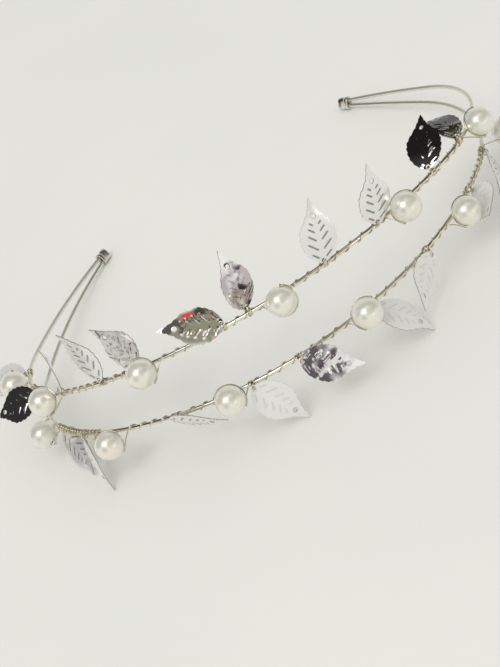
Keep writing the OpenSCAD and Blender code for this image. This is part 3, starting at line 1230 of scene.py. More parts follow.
@dataclass
class Sleeves:
    """The crimped sleeves that hold both wires' ends.

    Attributes:
        depth: How far a wire reaches in.
        mouth_steps: Distance from the mouth, and growth of the outline there.
        crimp_steps: Distance from the crimp's middle, and growth of the outline there.
        end_steps: Distance from the closed end, and growth of the outline there.
        pocket_floor: Share of the bore that the flat floor of the pocket has.
    """

    bench: Bench
    material: Material
    wire_d: float = WIRE_D
    depth: float = 2.8
    wall: float = 0.5
    end: float = 0.8
    pocket_gap: float = 0.15
    sides: int = 64
    mouth_steps: tuple[tuple[float, float], ...] = ((0.0, -0.10), (0.04, -0.03), (0.12, 0.0))
    crimp_steps: tuple[tuple[float, float], ...] = (
        (-0.75, 0.0), (-0.5, -0.05), (-0.25, -0.15), (0.0, -0.18), (0.25, -0.15), (0.5, -0.05), (0.75, 0.0))
    end_steps: tuple[tuple[float, float], ...] = ((-0.45, 0.0), (-0.2, -0.06), (-0.07, -0.17), (0.0, -0.36))
    pocket_bevel: float = 0.1
    pocket_floor: float = 0.6
    sharp_deg: float = 50.0

    def _outline(self, span: float, radius: float) -> Array:
        """Gives a slot shape, evenly spread by angle at each end.

        Args:
            span: Distance between the middles of its two round ends.
            radius: Radius of the ends.

        Returns:
            Its points across and up.
        """
        turn = np.linspace(0, 2 * np.pi, self.sides, endpoint=False)
        x, y = radius * np.cos(turn), radius * np.sin(turn)
        return np.stack([x, y + np.where(np.sin(turn) >= 0, span / 2, -span / 2)], axis=1)

    def _rings(self, slant: float) -> tuple[list[tuple[float, float]], list[tuple[float, float]]]:
        """Lists the outlines along the sleeve, as a distance from its middle and a radius.

        Args:
            slant: How far one wire's end lies behind the other's.

        Returns:
            The outlines of the outside from the mouth, and of the pocket from its floor.
        """
        bore = self.wire_d / 2 + self.pocket_gap
        floor = self.depth / 2 + abs(slant) / 2 + self.pocket_gap
        mouth = -self.depth / 2
        outside = []
        for start, steps in ((mouth, self.mouth_steps), ((mouth + floor) / 2, self.crimp_steps),
                             (floor + self.end, self.end_steps)):
            outside += [(start + step, bore + self.wall + growth) for step, growth in steps]
        pocket = [(floor, bore * self.pocket_floor), (floor, bore), (mouth + self.pocket_bevel, bore),
                  (mouth, bore + self.pocket_bevel)]
        return outside, pocket

    def _faces(self, outside: int, pocket: int) -> list[tuple[int, ...]]:
        """Lists the faces of a sleeve, outward.

        Args:
            outside: Number of outlines on its outside.
            pocket: Number of outlines in its pocket.

        Returns:
            The faces, with the closed end and the pocket's floor as one face each.
        """
        faces = grid_faces(outside + pocket, self.sides, closed=True)
        end_ring, floor_ring = (outside - 1) * self.sides, outside * self.sides
        del faces[end_ring:floor_ring]
        faces.append(tuple(end_ring + i for i in range(self.sides)))
        faces.append(tuple(floor_ring + i for i in reversed(range(self.sides))))
        return faces

    def build(self, side: int) -> Piece:
        """Makes the sleeve of one side.

        Args:
            side: -1 for the left leg, 1 for the right leg.

        Returns:
            The piece.
        """
        plans = (UPPER.plan, LOWER.plan)
        frames = [plan.frame_at(side * (plan.half_length(side) - self.depth / 2)) for plan in plans]
        axis = side * unit(frames[0].along + frames[1].along)
        apart = frames[0].point - frames[1].point
        slant = float(apart @ axis)
        across = unit(apart - slant * axis)
        sideways = np.cross(across, axis)
        span = float(apart @ across)
        middle = (frames[0].point + frames[1].point) / 2
        outside, pocket = self._rings(slant)
        points = []
        for place, radius in outside + pocket:
            outline = self._outline(span, radius)
            points.append(middle + place * axis + outline[:, :1] * sideways + outline[:, 1:] * across)
        stacked = np.vstack(points)
        stacked[:, 2] = np.maximum(stacked[:, 2], 0.0)
        name = "left" if side < 0 else "right"
        faces = self._faces(len(outside), len(pocket))
        mesh = mesh_of("sleeve", self.bench.carry(stacked), faces, self.material)
        mesh.set_sharp_from_angle(angle=math.radians(self.sharp_deg))
        return self.bench.piece(f"{name}_crimped_sleeve", mesh, "wire", [f"{name}_end_cap"])


@dataclass(frozen=True)
class StrandPoint:
    """A point of the line that a winding follows.

    Attributes:
        place: Where it is.
        frame: Directions across the line.
        phase: Turn of the winding there, in radians.
        far: How far the wire stands off the line.
    """

    place: Array
    frame: PathFrame
    phase: float = 0.0
    far: float = 0.0


@dataclass
class Binding:
    """The thin wire wound round a main wire, taken through its pearls and leaves.

    Attributes:
        touch_gap: Room between the main wire and the winding.
        lay_step: Step in which the turns of a run are laid out.
        wander: Least and greatest share of the even rate of turns.
        strand_gap: Distance of a strand from the middle of the bore.
        leg_from_pearl: Room between a pearl's side and the winding next to it, along the wire.
        mouth_steps: How far past the pearl the wire is near a bore, and how far off the bore's middle.
        tie_back: How far a tie reaches behind the main wire's middle.
        tie_slim: Width of a tie as a share of its length.
        cluster_reach: How far the close turns beside a leaf reach.
        hug_power: How soon the wire comes close to the pearl.
        streak_step: Length that each point of the line counts for in the metal's streaks.
    """

    bench: Bench
    trees: WireTrees
    row: Row
    blank: "LeafBlank"
    material: Material
    wire_d: float = WIRE_D
    diameter: float = 0.36
    sides: int = 8
    points_a_turn: int = 16
    touch_gap: float = 0.01
    lay_step: float = 0.04
    wander: tuple[float, float] = (0.82, 1.2)
    wander_points: int = 12
    least_steps: int = 24
    pearl_r: float = PEARL_R
    strand_gap: float = 0.27
    leg_from_pearl: float = 0.9
    mouth_steps: tuple[tuple[float, float], ...] = ((0.4, -0.55), (0.28, -0.16), (-0.1, 0.0))
    tie_reach: float = TIE_REACH
    tie_back: float = 0.86
    tie_slim: float = 0.64
    tie_turns: float = 3.0
    tie_height: float = 0.62
    cluster_reach: float = 0.85
    cluster_pitch: float = 0.48
    loop_r: float = 4.27
    loop_points: int = 40
    hug_points: int = 9
    hug_power: int = 4
    streak_step: float = 0.3
    seed: int = 7

    @property
    def stand_off(self) -> float:
        """Distance from the main wire's middle to the winding's middle."""
        return (self.wire_d + self.diameter) / 2 + self.touch_gap

    def _turns(self, start: float, end: float, pitch: float,
               random: np.random.Generator) -> tuple[Array, Array]:
        """Lays out the turns of one run.

        Args:
            start: Station where the run starts.
            end: Station where it ends.
            pitch: Length of one open turn.
            random: Source of the small unevenness of hand winding.

        Returns:
            Stations and turns counted from the start, at close steps.
        """
        stations = np.linspace(start, end, max(self.least_steps, int((end - start) / self.lay_step)))
        changes = np.linspace(start, end, self.wander_points)
        rate = np.interp(stations, changes, random.uniform(*self.wander, self.wander_points)) / pitch
        for leaf in self.row.leaves:
            near = np.exp(-(((stations - leaf.station) / self.cluster_reach) ** 4))
            rate += near * max(0.0, 1 / self.cluster_pitch - 1 / pitch)
        turns = np.concatenate([[0.0], np.cumsum((rate[1:] + rate[:-1]) / 2 * np.diff(stations))])
        return stations, turns

    def _run(self, ends: tuple[float, float], clocks: tuple[float, float], pitch: float,
             random: np.random.Generator) -> list[StrandPoint]:
        """Gives the points of one run of the winding.

        Args:
            ends: Stations where the run starts and ends.
            clocks: Clock angles of the winding there.
            pitch: Length of one open turn.
            random: Source of the small unevenness of hand winding.

        Returns:
            The points from left to right.
        """
        stations, turns = self._turns(*ends, pitch, random)
        more = (clocks[1] - clocks[0]) / 360
        whole = max(1, round(turns[-1] - more)) + more
        turns *= whole / turns[-1]
        points = []
        for turn in np.linspace(0, whole, max(4, int(whole * self.points_a_turn))):
            frame = self.row.plan.frame_at(float(np.interp(turn, turns, stations)))
            phase = math.radians(clocks[0]) + 2 * math.pi * turn
            points.append(StrandPoint(frame.point, frame, phase, self.stand_off))
        return points

    def _through(self, seat: PearlSeat) -> list[StrandPoint]:
        """Gives the points of the binding in a pearl's bore and at both its mouths.

        Args:
            seat: The pearl.

        Returns:
            The points from left to right.
        """
        frame = seat.frame(self.row.plan)
        bore = frame.point - self.strand_gap * frame.clock(seat.loop)
        ways_in = [(-self.pearl_r - past, rise) for past, rise in self.mouth_steps]
        ways_out = [(-far, rise) for far, rise in reversed(ways_in)]
        places = [*ways_in, (0.0, 0.0), *ways_out]
        return [StrandPoint(bore + far * frame.along + rise * frame.out, frame) for far, rise in places]

    def _hug(self, seat: PearlSeat, run_end: StrandPoint, mouth: StrandPoint) -> list[StrandPoint]:
        """Gives the points that keep to the pearl between the winding and the bore's mouth.

        Args:
            seat: The pearl.
            run_end: Point of the winding next to the pearl.
            mouth: Point at the bore's mouth.

        Returns:
            The points from the winding to the mouth.
        """
        frame = seat.frame(self.row.plan)
        across = run_end.frame
        spoke = math.cos(run_end.phase) * across.out + math.sin(run_end.phase) * across.up
        begin = run_end.place + run_end.far * spoke - frame.point
        end = mouth.place - frame.point
        points = []
        for share in np.linspace(0, 1, self.hug_points + 2)[1:-1]:
            way = unit((1 - share) * unit(begin) + share * unit(end))
            reach = self.loop_r + (np.linalg.norm(begin) - self.loop_r) * (1 - share) ** self.hug_power
            points.append(StrandPoint(frame.point + reach * way, frame))
        return points

    def _route(self) -> list[StrandPoint]:
        """Strings all runs and pearls of a row together.

        Returns:
            The points of the whole winding.
        """
        row = self.row
        random = np.random.default_rng(self.seed)
        count = len(row.pearls)
        leg = self.pearl_r + self.leg_from_pearl
        route = []
        for index, pitch in enumerate(row.pitches):
            before = row.pearls[max(index - 1, 0)]
            after = row.pearls[min(index, count - 1)]
            start = row.ends[0] if index == 0 else before.station + leg
            end = row.ends[1] if index == count else after.station - leg
            run = self._run((start, end), (before.clock, after.clock), pitch, random)
            if index:
                route += self._hug(before, run[0], route[-1])[::-1]
            route += run
            if index < count:
                through = self._through(after)
                route += self._hug(after, run[-1], through[0]) + through
        return route

    def _values(self) -> dict[str, Any]:
        """Gives the sizes that all trees of the binding share."""
        return {"Radius": self.diameter / 2 * MM, "Sides": self.sides, "Material": self.material}

    def _winding(self) -> Mesh:
        """Makes the mesh of the winding.

        Returns:
            The mesh.
        """
        route = self._route()
        line = line_mesh(self.bench.carry(np.array([point.place for point in route])))
        marks = {
            "out": [point.frame.out for point in route],
            "up": [point.frame.up for point in route],
            "phase": [point.phase for point in route],
            "stand_off": [point.far * MM for point in route],
            WireTrees.ALONG: np.arange(len(route)) * self.streak_step,
        }
        for name, values in marks.items():
            add_attribute(line, name, np.array(values))
        return self.trees.run(self.trees.wound, line, self._values())

    def _loop(self, seat: PearlSeat) -> Mesh:
        """Makes the loop that passes through a pearl and back round one of its sides.

        Args:
            seat: The pearl.

        Returns:
            The mesh.
        """
        frame = seat.frame(self.row.plan)
        start = math.asin(self.strand_gap / self.loop_r)
        angles = np.linspace(start, math.pi - start, self.loop_points)
        spokes = np.outer(np.cos(angles), frame.along) + np.outer(np.sin(angles), frame.clock(seat.loop))
        line = line_mesh(self.bench.carry(frame.point + self.loop_r * spokes), closed=True)
        add_attribute(line, WireTrees.ALONG, np.arange(self.loop_points) * self.streak_step)
        return self.trees.run(self.trees.drawn, line, self._values())

    def _ties(self) -> Mesh:
        """Makes the small coils that tie the leaves.

        Returns:
            The mesh.
        """
        radius = (self.tie_reach + self.tie_back) / 2
        centres, axes, reaches = [], [], []
        for seat in self.row.leaves:
            frame = self.row.plan.frame_at(seat.station)
            reach = frame.clock(seat.tie_clock)
            normal = frame.basis @ np.array(seat.turn() @ Vector(self.blank.base_normal(seat.curl)))
            centres.append(frame.point + (self.tie_reach - radius) * reach)
            axes.append(unit(np.cross(reach, normal)))
            reaches.append(reach)
        points = bpy.data.meshes.new("ties")
        points.from_pydata(self.bench.carry(np.array(centres)).tolist(), [], [])
        add_attribute(points, "axis", np.array(axes))
        add_attribute(points, "reach", np.array(reaches))
        values = self._values() | {
            "Coil radius": radius * MM, "Coil turns": self.tie_turns, "Coil height": self.tie_height * MM,
            "Coil slimness": self.tie_slim,
        }
        return self.trees.run(self.trees.tied, points, values)

    def build(self) -> Piece:
        """Makes the whole binding of the row as one piece.

        Returns:
            The piece.
        """
        meshes = [self._winding(), self._ties(), *(self._loop(seat) for seat in self.row.pearls)]
        name, node = f"{self.row.name}_winding", f"{self.row.name}_binding_wire"
        return self.bench.piece(name, joined(meshes), "binding", [node])


def joined(meshes: Sequence[Mesh]) -> Mesh:
    """Joins meshes that share one material, and keeps their point attributes.

    Args:
        meshes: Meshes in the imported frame.

    Returns:
        One mesh.
    """
    objects = [bpy.data.objects.new("part", mesh) for mesh in meshes]
    for part in objects:
        bpy.context.scene.collection.objects.link(part)
    with bpy.context.temp_override(active_object=objects[0], selected_editable_objects=objects):
        bpy.ops.object.join()
    mesh = objects[0].data
    bpy.data.objects.remove(objects[0])
    return mesh


@dataclass
class Pearls:
    """The drilled pearls of a row, with a rounded lip at each mouth of the bore."""

    bench: Bench
    row: Row
    material: Material
    radius: float = PEARL_R
    bore_r: float = 0.525
    lip: float = 0.14
    lip_steps: int = 5
    segments: int = 72
    rings: int = 44

    def _profile(self) -> Array:
        """Gives the half section from one bore mouth over the pearl and back through the bore.

        Returns:
            Distances from the bore's middle, and heights along it.
        """
        rim = self.bore_r + self.lip
        first = math.asin(rim / self.radius)
        outer = [(self.radius * math.sin(a), -self.radius * math.cos(a))
                 for a in np.linspace(first, math.pi - first, self.rings)]
        top = outer[-1][1]
        lip = [(rim - self.lip * math.sin(a), top - self.lip * (1 - math.cos(a)))
               for a in np.linspace(0, math.pi / 2, self.lip_steps)[1:]]
        inner = [(x, -y) for x, y in reversed(lip)]
        return np.array(outer + lip + inner)

    def _mesh(self, frame: PathFrame) -> Mesh:
        """Turns the profile round the bore and places it.

        Args:
            frame: The pearl's own frame.

        Returns:
            The mesh.
        """
        profile = self._profile()
        turns = np.linspace(0, 2 * np.pi, self.segments, endpoint=False)
        spokes = np.outer(np.cos(turns), frame.up) + np.outer(np.sin(turns), frame.out)
        points = [frame.point + radius * spokes + height * frame.along for radius, height in profile]
        faces = grid_faces(len(profile), self.segments, closed=True)
        return mesh_of("pearl", self.bench.carry(np.vstack(points)), faces, self.material)

    def build(self) -> list[Piece]:
        """Makes the pearls.

        Returns:
            The pieces from left to right.
        """
        pieces = []
        for number, seat in enumerate(self.row.pearls, start=1):
            mesh = self._mesh(seat.frame(self.row.plan))
            name, node = f"{self.row.name}_nacre_{number}", f"{self.row.name}_pearl_{number}"
            pieces.append(self.bench.piece(name, mesh, "pearl", [node]))
        return pieces


@dataclass
class LeafBlank:
    """The flat stamped leaf, before it is curled and tied.

    A flat place is its distance from the hole in the base toward the tip, and its distance from
    the midrib. A share of the leaf counts from 0 at its base edge to 1 at its tip.

    Attributes:
        base_edge: Sheet behind the middle of the base hole.
        tooth_lean: Share of a tooth in which it rises.
        tooth_bow: Power that bows a tooth's long side.
        edge_power: How far toward the base the leaf is widest.
        waist: Share of the width that the leaf loses toward its tip.
        veins: Distance along the leaf, distance from the midrib and length of each pair of veins.
        vein_end: How far beyond its start the edge is measured to keep a vein clear of it.
        vein_margin: Sheet between a vein and the edge.
        grid_gap: Room between the points that fill the sheet and the drawn lines.
        rim: Width of the close points along the edge.
        edge_drop: How far the edge is bent down.
    """

    length: float = 16.6
    width: float = 9.7
    sheet: float = 0.26
    base_edge: float = 0.8
    base_hole_r: float = 0.6
    tip_hole_r: float = 0.6
    tip_hole_at: float = 11.9
    hole_points: int = 28
    base_ring: float = 0.14
    tip_ring: float = 0.2
    teeth: int = 9
    tooth: float = 0.30
    tooth_lean: float = 0.82
    tooth_bow: float = 0.8
    tooth_fade_in: float = 0.04
    tooth_fade_out: float = 0.08
    first_tooth: float = 0.08
    last_tooth: float = 0.95
    base_points: int = 15
    tooth_points: int = 10
    tip_points: int = 6
    edge_power: float = 0.68
    waist: float = 0.5
    waist_from: float = 0.5
    waist_to: float = 0.88
    veins: tuple[tuple[float, float, float], ...] = (
        (1.1, 0.7, 2.2), (3.3, 0.45, 3.2), (5.8, 0.45, 2.6), (8.0, 0.45, 2.0), (9.9, 0.45, 1.5))
    vein_w: float = 0.8
    vein_slope: float = 50.0
    vein_end: float = 1.5
    vein_margin: float = 1.2
    vein_points: int = 5
    grid: float = 0.5
    grid_row: float = 0.433
    grid_gap: float = 0.24
    rim: float = 0.16
    lip_height: float = 0.05
    lip_width: float = 0.2
    lip_shade: float = 0.5
    lip_shade_width: float = 0.08
    edge_drop: float = 0.02

    def __post_init__(self) -> None:
        """Works out the blank and its closed shell once, because all leaves share them."""
        self.flat, sheet, self.edges = self._triangulate()
        parts = [np.arange(len(self.flat)), *(np.array(edge) for edge in self.edges)]
        self.rows = np.concatenate([part for part in parts for _ in (0, 1)])
        self.on_top = np.concatenate([np.full(len(part), top) for part in parts for top in (True, False)])
        self.cut = np.arange(len(self.rows)) >= 2 * len(self.flat)
        self.faces = self._shell(sheet)

    @property
    def holes(self) -> tuple[tuple[float, float], tuple[float, float]]:
        """Place along the midrib and radius of both holes."""
        return (0.0, self.base_hole_r), (self.tip_hole_at, self.tip_hole_r)

    def half_width(self, v: float) -> float:
        """Gives the distance from the midrib to the edge without its teeth.

        Args:
            v: Share of the leaf.

        Returns:
            The distance.
        """
        peak = (self.edge_power / (1 + self.edge_power)) ** self.edge_power / (1 + self.edge_power)
        plain = self.width / 2 * v**self.edge_power * (1 - v) / peak
        share = min(1.0, max(0.0, (v - self.waist_from) / (self.waist_to - self.waist_from)))
        return plain * (1 - self.waist * share * share * (3 - 2 * share))

    def _tooth_offset(self, v: float) -> float:
        """Gives how far a tooth stands in or out of the plain edge.

        Args:
            v: Share of the leaf.

        Returns:
            The distance, above zero where the tooth stands out.
        """
        if not self.first_tooth < v < self.last_tooth:
            return 0.0
        step = (self.last_tooth - self.first_tooth) / self.teeth
        share = (v - self.first_tooth) / step % 1.0
        rise = min(share / self.tooth_lean, (1 - share) / (1 - self.tooth_lean))
        fade_in = (v - self.first_tooth) / self.tooth_fade_in
        fade_out = (self.last_tooth - v) / self.tooth_fade_out
        return self.tooth * (rise**self.tooth_bow - 0.5) * min(1.0, fade_in, fade_out)

    def outline(self) -> Array:
        """Gives the toothed edge as a closed line of flat places, base first.

        Returns:
            The places.
        """
        base = np.linspace(0, 1, self.base_points) ** 2 * self.first_tooth
        toothed = np.linspace(self.first_tooth, self.last_tooth, self.teeth * self.tooth_points + 1)[1:]
        tip = np.linspace(self.last_tooth, 1.0, self.tip_points)[1:]
        v = np.concatenate([base, toothed, tip])
        u = v * (self.length + self.base_edge) - self.base_edge
        w = np.array([max(0.0, self.half_width(x) + self._tooth_offset(x)) for x in v])
        upper = np.stack([u, w], axis=1)
        lower = np.stack([u, -w], axis=1)[1:-1][::-1]
        return np.vstack([upper, lower])[::-1]

    def _circle(self, u: float, radius: float) -> Array:
        """Gives a circle on the midrib as flat places.

        Args:
            u: Place of its middle along the midrib.
            radius: Its radius.

        Returns:
            The places.
        """
        turn = np.linspace(0, 2 * np.pi, self.hole_points, endpoint=False)
        return np.stack([u + radius * np.cos(turn), radius * np.sin(turn)], axis=1)

    def vein_axes(self) -> list[tuple[Array, Array]]:
        """Gives the start and end of each pressed vein, from its place and length in veins.

        Returns:
            Two flat places for each vein, with the pairs in order.
        """
        slope = math.radians(self.vein_slope)
        way = np.array([math.cos(slope), math.sin(slope)])
        across = np.array([-way[1], way[0]])
        axes = []
        for u, v, length in self.veins:
            room = self.half_width((u + self.vein_end + self.base_edge) / (self.length + self.base_edge))
            far = min(length, (room - v - self.vein_margin) / math.sin(slope)) - self.vein_w / 2
            start = np.array([u, v]) + across * self.vein_w / 2 + way * self.vein_w / 4
            for side in (1, -1):
                flip = np.array([1, side])
                axes.append((start * flip, (start + far * way) * flip))
        return axes

    def _capsule(self, start: Array, end: Array) -> Array:
        """Gives the long round-ended outline of a vein.

        Args:
            start: Start of its axis.
            end: End of its axis.

        Returns:
            The outline as flat places.
        """
        radius = self.vein_w / 2
        way = unit(end - start)
        side = np.array([-way[1], way[0]])
        turn = np.linspace(-np.pi / 2, np.pi / 2, self.vein_points)
        bow = [radius * (math.cos(t) * way + math.sin(t) * side) for t in turn]
        return np.array([end + step for step in bow] + [start - step for step in bow])

    def _triangulate(self) -> tuple[Array, list[tuple[int, ...]], list[list[int]]]:
        """Cuts the blank into triangles.

        Returns:
            The flat places, the triangles and the closed lines of the outer edge and both holes.
        """
        edge = self.outline()
        holes = [self._circle(at, radius) for at, radius in self.holes]
        rings = zip(self.holes, (self.base_ring, self.tip_ring))
        lines = [edge, *holes, self._inset(edge, self.rim)]
        lines += [self._circle(at, radius + ring) for (at, radius), ring in rings]
        lines += [self._capsule(start, end) for start, end in self.vein_axes()]
        ridges = [np.linspace(start, end, self.vein_points) for start, end in self.vein_axes()]
        links, starts, base = [], [], 0
        for line in lines + ridges:
            starts.append(base)
            links += [(base + i, base + i + 1) for i in range(len(line) - 1)]
            base += len(line)
        for start, line in zip(starts, lines):
            links.append((start + len(line) - 1, start))
        points = np.vstack([*lines, *ridges, self._filler(edge, lines + ridges)])
        result = delaunay_2d_cdt([Vector(point) for point in points.tolist()], links, [], 0, 1e-6)
        flat = np.array([tuple(point) for point in result[0]])
        faces = []
        for face in map(tuple, result[2]):
            corners = flat[list(face)]
            if self._is_sheet(corners.mean(axis=0), edge, holes):
                faces.append(face if self._area(corners) > 0 else face[::-1])
        origin = {old: new for new, olds in enumerate(result[3]) for old in olds}
        edges = zip(starts, (edge, *holes))
        closed = [[origin[start + i] for i in range(len(line))] for start, line in edges]
        return flat, faces, closed

    def _shell(self, sheet: Sequence[tuple[int, ...]]) -> list[tuple[int, ...]]:
        """Lists the faces of both sides of the sheet and of the walls along its edges.

        Args:
            sheet: Triangles of one side.

        Returns:
            The faces, outward, as numbers of rows.
        """
        count = len(self.flat)
        faces = list(sheet) + [tuple(count + i for i in face[::-1]) for face in sheet]
        base = 2 * count
        for number, edge in enumerate(self.edges):
            size = len(edge)
            after = [(i + 1) % size for i in range(size)]
            walls = [(base + i, base + j, base + size + j, base + size + i) for i, j in enumerate(after)]
            turns_right = self._area(self.flat[edge]) < 0
            faces += walls if turns_right == (number == 0) else [wall[::-1] for wall in walls]
            base += 2 * size
        return faces

    def _inset(self, line: Array, far: float) -> Array:
        """Moves a closed line inward by a small distance.

        Args:
            line: The line as flat places.
            far: The distance.

        Returns:
            The moved line, without the points that would fall together.
        """
        near_midrib, midrib_share = 1.6, 0.45
        tip_room, least_step = 2.2, 0.05
        way = np.roll(line, -1, axis=0) - np.roll(line, 1, axis=0)
        way /= np.maximum(np.linalg.norm(way, axis=1, keepdims=True), 1e-9)
        moved = line + far * np.stack([way[:, 1], -way[:, 0]], axis=1)
        slim = np.abs(line[:, 1]) < far * near_midrib
        moved[slim, 1] = line[slim, 1] * midrib_share
        moved[:, 0] = np.clip(moved[:, 0], -self.base_edge + far, self.length - tip_room * far)
        kept = [moved[0]]
        for place in moved[1:]:
            if np.linalg.norm(place - kept[-1]) >= least_step:
                kept.append(place)
        return np.array(kept)

    def _filler(self, edge: Array, lines: Sequence[Array]) -> Array:
        """Gives evenly spread places inside the leaf, clear of all lines.

        Args:
            edge: The toothed edge.
            lines: All drawn lines.

        Returns:
            The flat places.
        """
        rows = []
        for j, w in enumerate(np.arange(-self.width / 2, self.width / 2, self.grid_row)):
            start = -self.base_edge + (self.grid / 2 if j % 2 else 0.0)
            rows += [(u, w) for u in np.arange(start, self.length, self.grid)]
        places = np.array(rows)
        known = np.vstack(lines)
        far = np.array([np.min(np.linalg.norm(known - p, axis=1)) for p in places])
        inside = np.array([self._within(p, edge) for p in places])
        return places[inside & (far > self.grid_gap)]

    @staticmethod
    def _area(corners: Array) -> float:
        """Gives the area inside a closed line, above zero where it turns to the left."""
        after = np.roll(corners, -1, axis=0)
        return float(np.sum(corners[:, 0] * after[:, 1] - after[:, 0] * corners[:, 1])) / 2

    @staticmethod
    def _within(place: Array, line: Array) -> bool:
        """Tells whether a flat place lies inside a closed line.

        Args:
            place: The place.
            line: The line.

        Returns:
            Whether it lies inside.
        """
        x, y = place
        after = np.roll(line, -1, axis=0)
        crosses = (line[:, 1] > y) != (after[:, 1] > y)
        with np.errstate(divide="ignore", invalid="ignore"):
            at = line[:, 0] + (y - line[:, 1]) * (after[:, 0] - line[:, 0]) / (after[:, 1] - line[:, 1])
        return bool(np.count_nonzero(crosses & (x < at)) % 2)

    def _is_sheet(self, place: Array, edge: Array, holes: Sequence[Array]) -> bool:
        """Tells whether a flat place is sheet and not a hole."""
        return self._within(place, edge) and not any(self._within(place, hole) for hole in holes)

    def relief(self, press: Press) -> tuple[Array, Array]:
        """Gives the pressed height and the strength of the painted shade at each flat place.

        Args:
            press: How the veins show.

        Returns:
            Both, one number for each place.
        """
        height = np.zeros(len(self.flat))
        painted_shade = np.zeros(len(self.flat))
        for start, end in self.vein_axes():
            way = end - start
            share = np.clip((self.flat - start) @ way / (way @ way), 0, 1)
            far = np.linalg.norm(self.flat - start - share[:, None] * way, axis=1)
            ridge = np.clip(1 - far / (self.vein_w / 2), 0, 1)
            height = np.maximum(height, press.value[0] * ridge)
            # The shade painted along a vein is darkest on its ridge line.
            painted_shade = np.maximum(painted_shade, press.value[1] * ridge)
        for at, radius in self.holes:
            far = np.hypot(self.flat[:, 0] - at, self.flat[:, 1]) - radius
            height = np.maximum(height, self.lip_height * np.clip(1 - far / self.lip_width, 0, 1))
            # A ring of painted shade just round each hole's edge.
            painted_shade = np.maximum(painted_shade, self.lip_shade * np.exp(-((far / self.lip_shade_width) ** 2)))
        height[self.edges[0]] -= self.edge_drop
        return height, painted_shade

    def half_turn(self, curl: float) -> float:
        """Gives half the angle that a leaf's length takes of its curl."""
        return self.length / (2 * curl)

    def base_normal(self, curl: float) -> tuple[float, float, float]:
        """Gives the way that the sheet faces at the base hole."""
        turn = self.half_turn(curl)
        return (-math.sin(turn), 0.0, math.cos(turn))

    def curled(self, curl: float, flat: Array, height: Array) -> Array:
        """Rolls flat places onto a tube that lies across the leaf.

        Args:
            curl: Radius of the curl.
            flat: Flat places.
            height: Height of each place above the middle of the sheet.

        Returns:
            Places in the leaf's own axes.
        """
        half = self.half_turn(curl)
        turn = half - flat[:, 0] / curl
        x = curl * math.sin(half) - (curl + height) * np.sin(turn)
        z = (curl + height) * np.cos(turn) - curl * math.cos(half)
        return np.stack([x, flat[:, 1], z], axis=1)


@dataclass
class Leaves:
    """The stamped leaves of a row, each curled, slightly buckled and tied in its own way.

    Attributes:
        firm_base: Length from the base hole in which the unevenness grows.
        painted_dark_reflection_from: Where the painted dark reflection starts, from the base hole.
        painted_patchy_reflection_to: Where the painted reflection patches end, from the base hole.
        mood_fade: Length in which either painted reflection grows or fades.
    """

    bench: Bench
    blank: LeafBlank
    row: Row
    material: Material
    tie_reach: float = TIE_REACH
    waves: int = 5
    wave_length: tuple[float, float] = (4.5, 10.0)
    firm_base: float = 4.0
    painted_dark_reflection_from: float = 1.5
    painted_patchy_reflection_to: float = 12.8
    mood_fade: float = 3.0
    seed: int = 31

    def _buckle(self, seat: LeafSeat, flat: Array, random: np.random.Generator) -> Array:
        """Gives the soft unevenness of a bent sheet.

        Args:
            seat: The leaf, for its temper and its bend across.
            flat: Flat places.
            random: Source of the waves.

        Returns:
            Height of the sheet's middle, zero at the base hole.
        """
        total = np.zeros(len(flat))
        for _ in range(self.waves):
            way = random.uniform(0, math.pi)
            length = random.uniform(*self.wave_length)
            phase = random.uniform(0, 2 * math.pi)
            run = flat[:, 0] * math.cos(way) + flat[:, 1] * math.sin(way)
            total += np.sin(2 * math.pi * run / length + phase) / 2
        fade = np.clip(flat[:, 0] / self.firm_base, 0, 1)
        return (seat.temper.value * total - seat.dish * flat[:, 1] ** 2) * fade

    def _mesh(self, seat: LeafSeat, random: np.random.Generator) -> Mesh:
        """Makes one leaf's mesh in its place.

        Args:
            seat: Where and how the leaf is tied.
            random: Source of its unevenness.

        Returns:
            The mesh.
        """
        blank = self.blank
        height, painted_shade = blank.relief(seat.press)
        middle = self._buckle(seat, blank.flat, random) + height
        flat = blank.flat[blank.rows]
        off_middle = np.where(blank.on_top, blank.sheet / 2, -blank.sheet / 2)
        own = blank.curled(seat.curl, flat, middle[blank.rows] + off_middle)
        frame = self.row.plan.frame_at(seat.station)
        turn = frame.basis @ np.array(seat.turn())
        hole = frame.point + self.tie_reach * frame.clock(seat.tie_clock)
        mesh = mesh_of("leaf", self.bench.carry(own @ turn.T + hole), blank.faces, self.material)
        add_attribute(mesh, "flat_place", np.column_stack([flat, np.zeros(len(flat))]))
        # Painted shade along the veins and round the holes, none on the cut walls.
        add_attribute(mesh, "painted_shade", np.where(blank.cut, 0.0, painted_shade[blank.rows]))
        add_attribute(mesh, "cut", blank.cut)
        # The painted dark reflection grows past the base; the painted reflection patches fade before the
        # tip.
        past_base = np.clip((flat[:, 0] - self.painted_dark_reflection_from) / self.mood_fade, 0, 1)
        before_tip = np.clip((self.painted_patchy_reflection_to - flat[:, 0]) / self.mood_fade, 0, 1)
        mood = [np.full(len(flat), seat.satin), seat.painted_dark_reflection * past_base, seat.painted_patchy_reflection * before_tip]
        add_attribute(mesh, "mood", np.column_stack(mood))
        return mesh

    def build(self) -> list[Piece]:
        """Makes the leaves.

        Returns:
            The pieces from left to right.
        """
        pieces = []
        row = self.row
        for number, seat in enumerate(row.leaves, start=1):
            mesh = self._mesh(seat, np.random.default_rng([self.seed, len(row.leaves), number]))
            name, node = f"{row.name}_stamped_leaf_{number}", f"{row.name}_leaf_{number}"
            pieces.append(self.bench.piece(name, mesh, "leaf", [node]))
        return pieces


# Studio


@dataclass(frozen=True)
class Zone:
    """A soft round patch of the surroundings that polished metal mirrors.

    Attributes:
        toward: Direction of the patch's middle.
        inner_deg: Angle within which it is full.
        outer_deg: Angle at which it has faded out.
        colour: Its light.
    """

    toward: tuple[float, float, float]
    inner_deg: float
    outer_deg: float
    colour: Colour


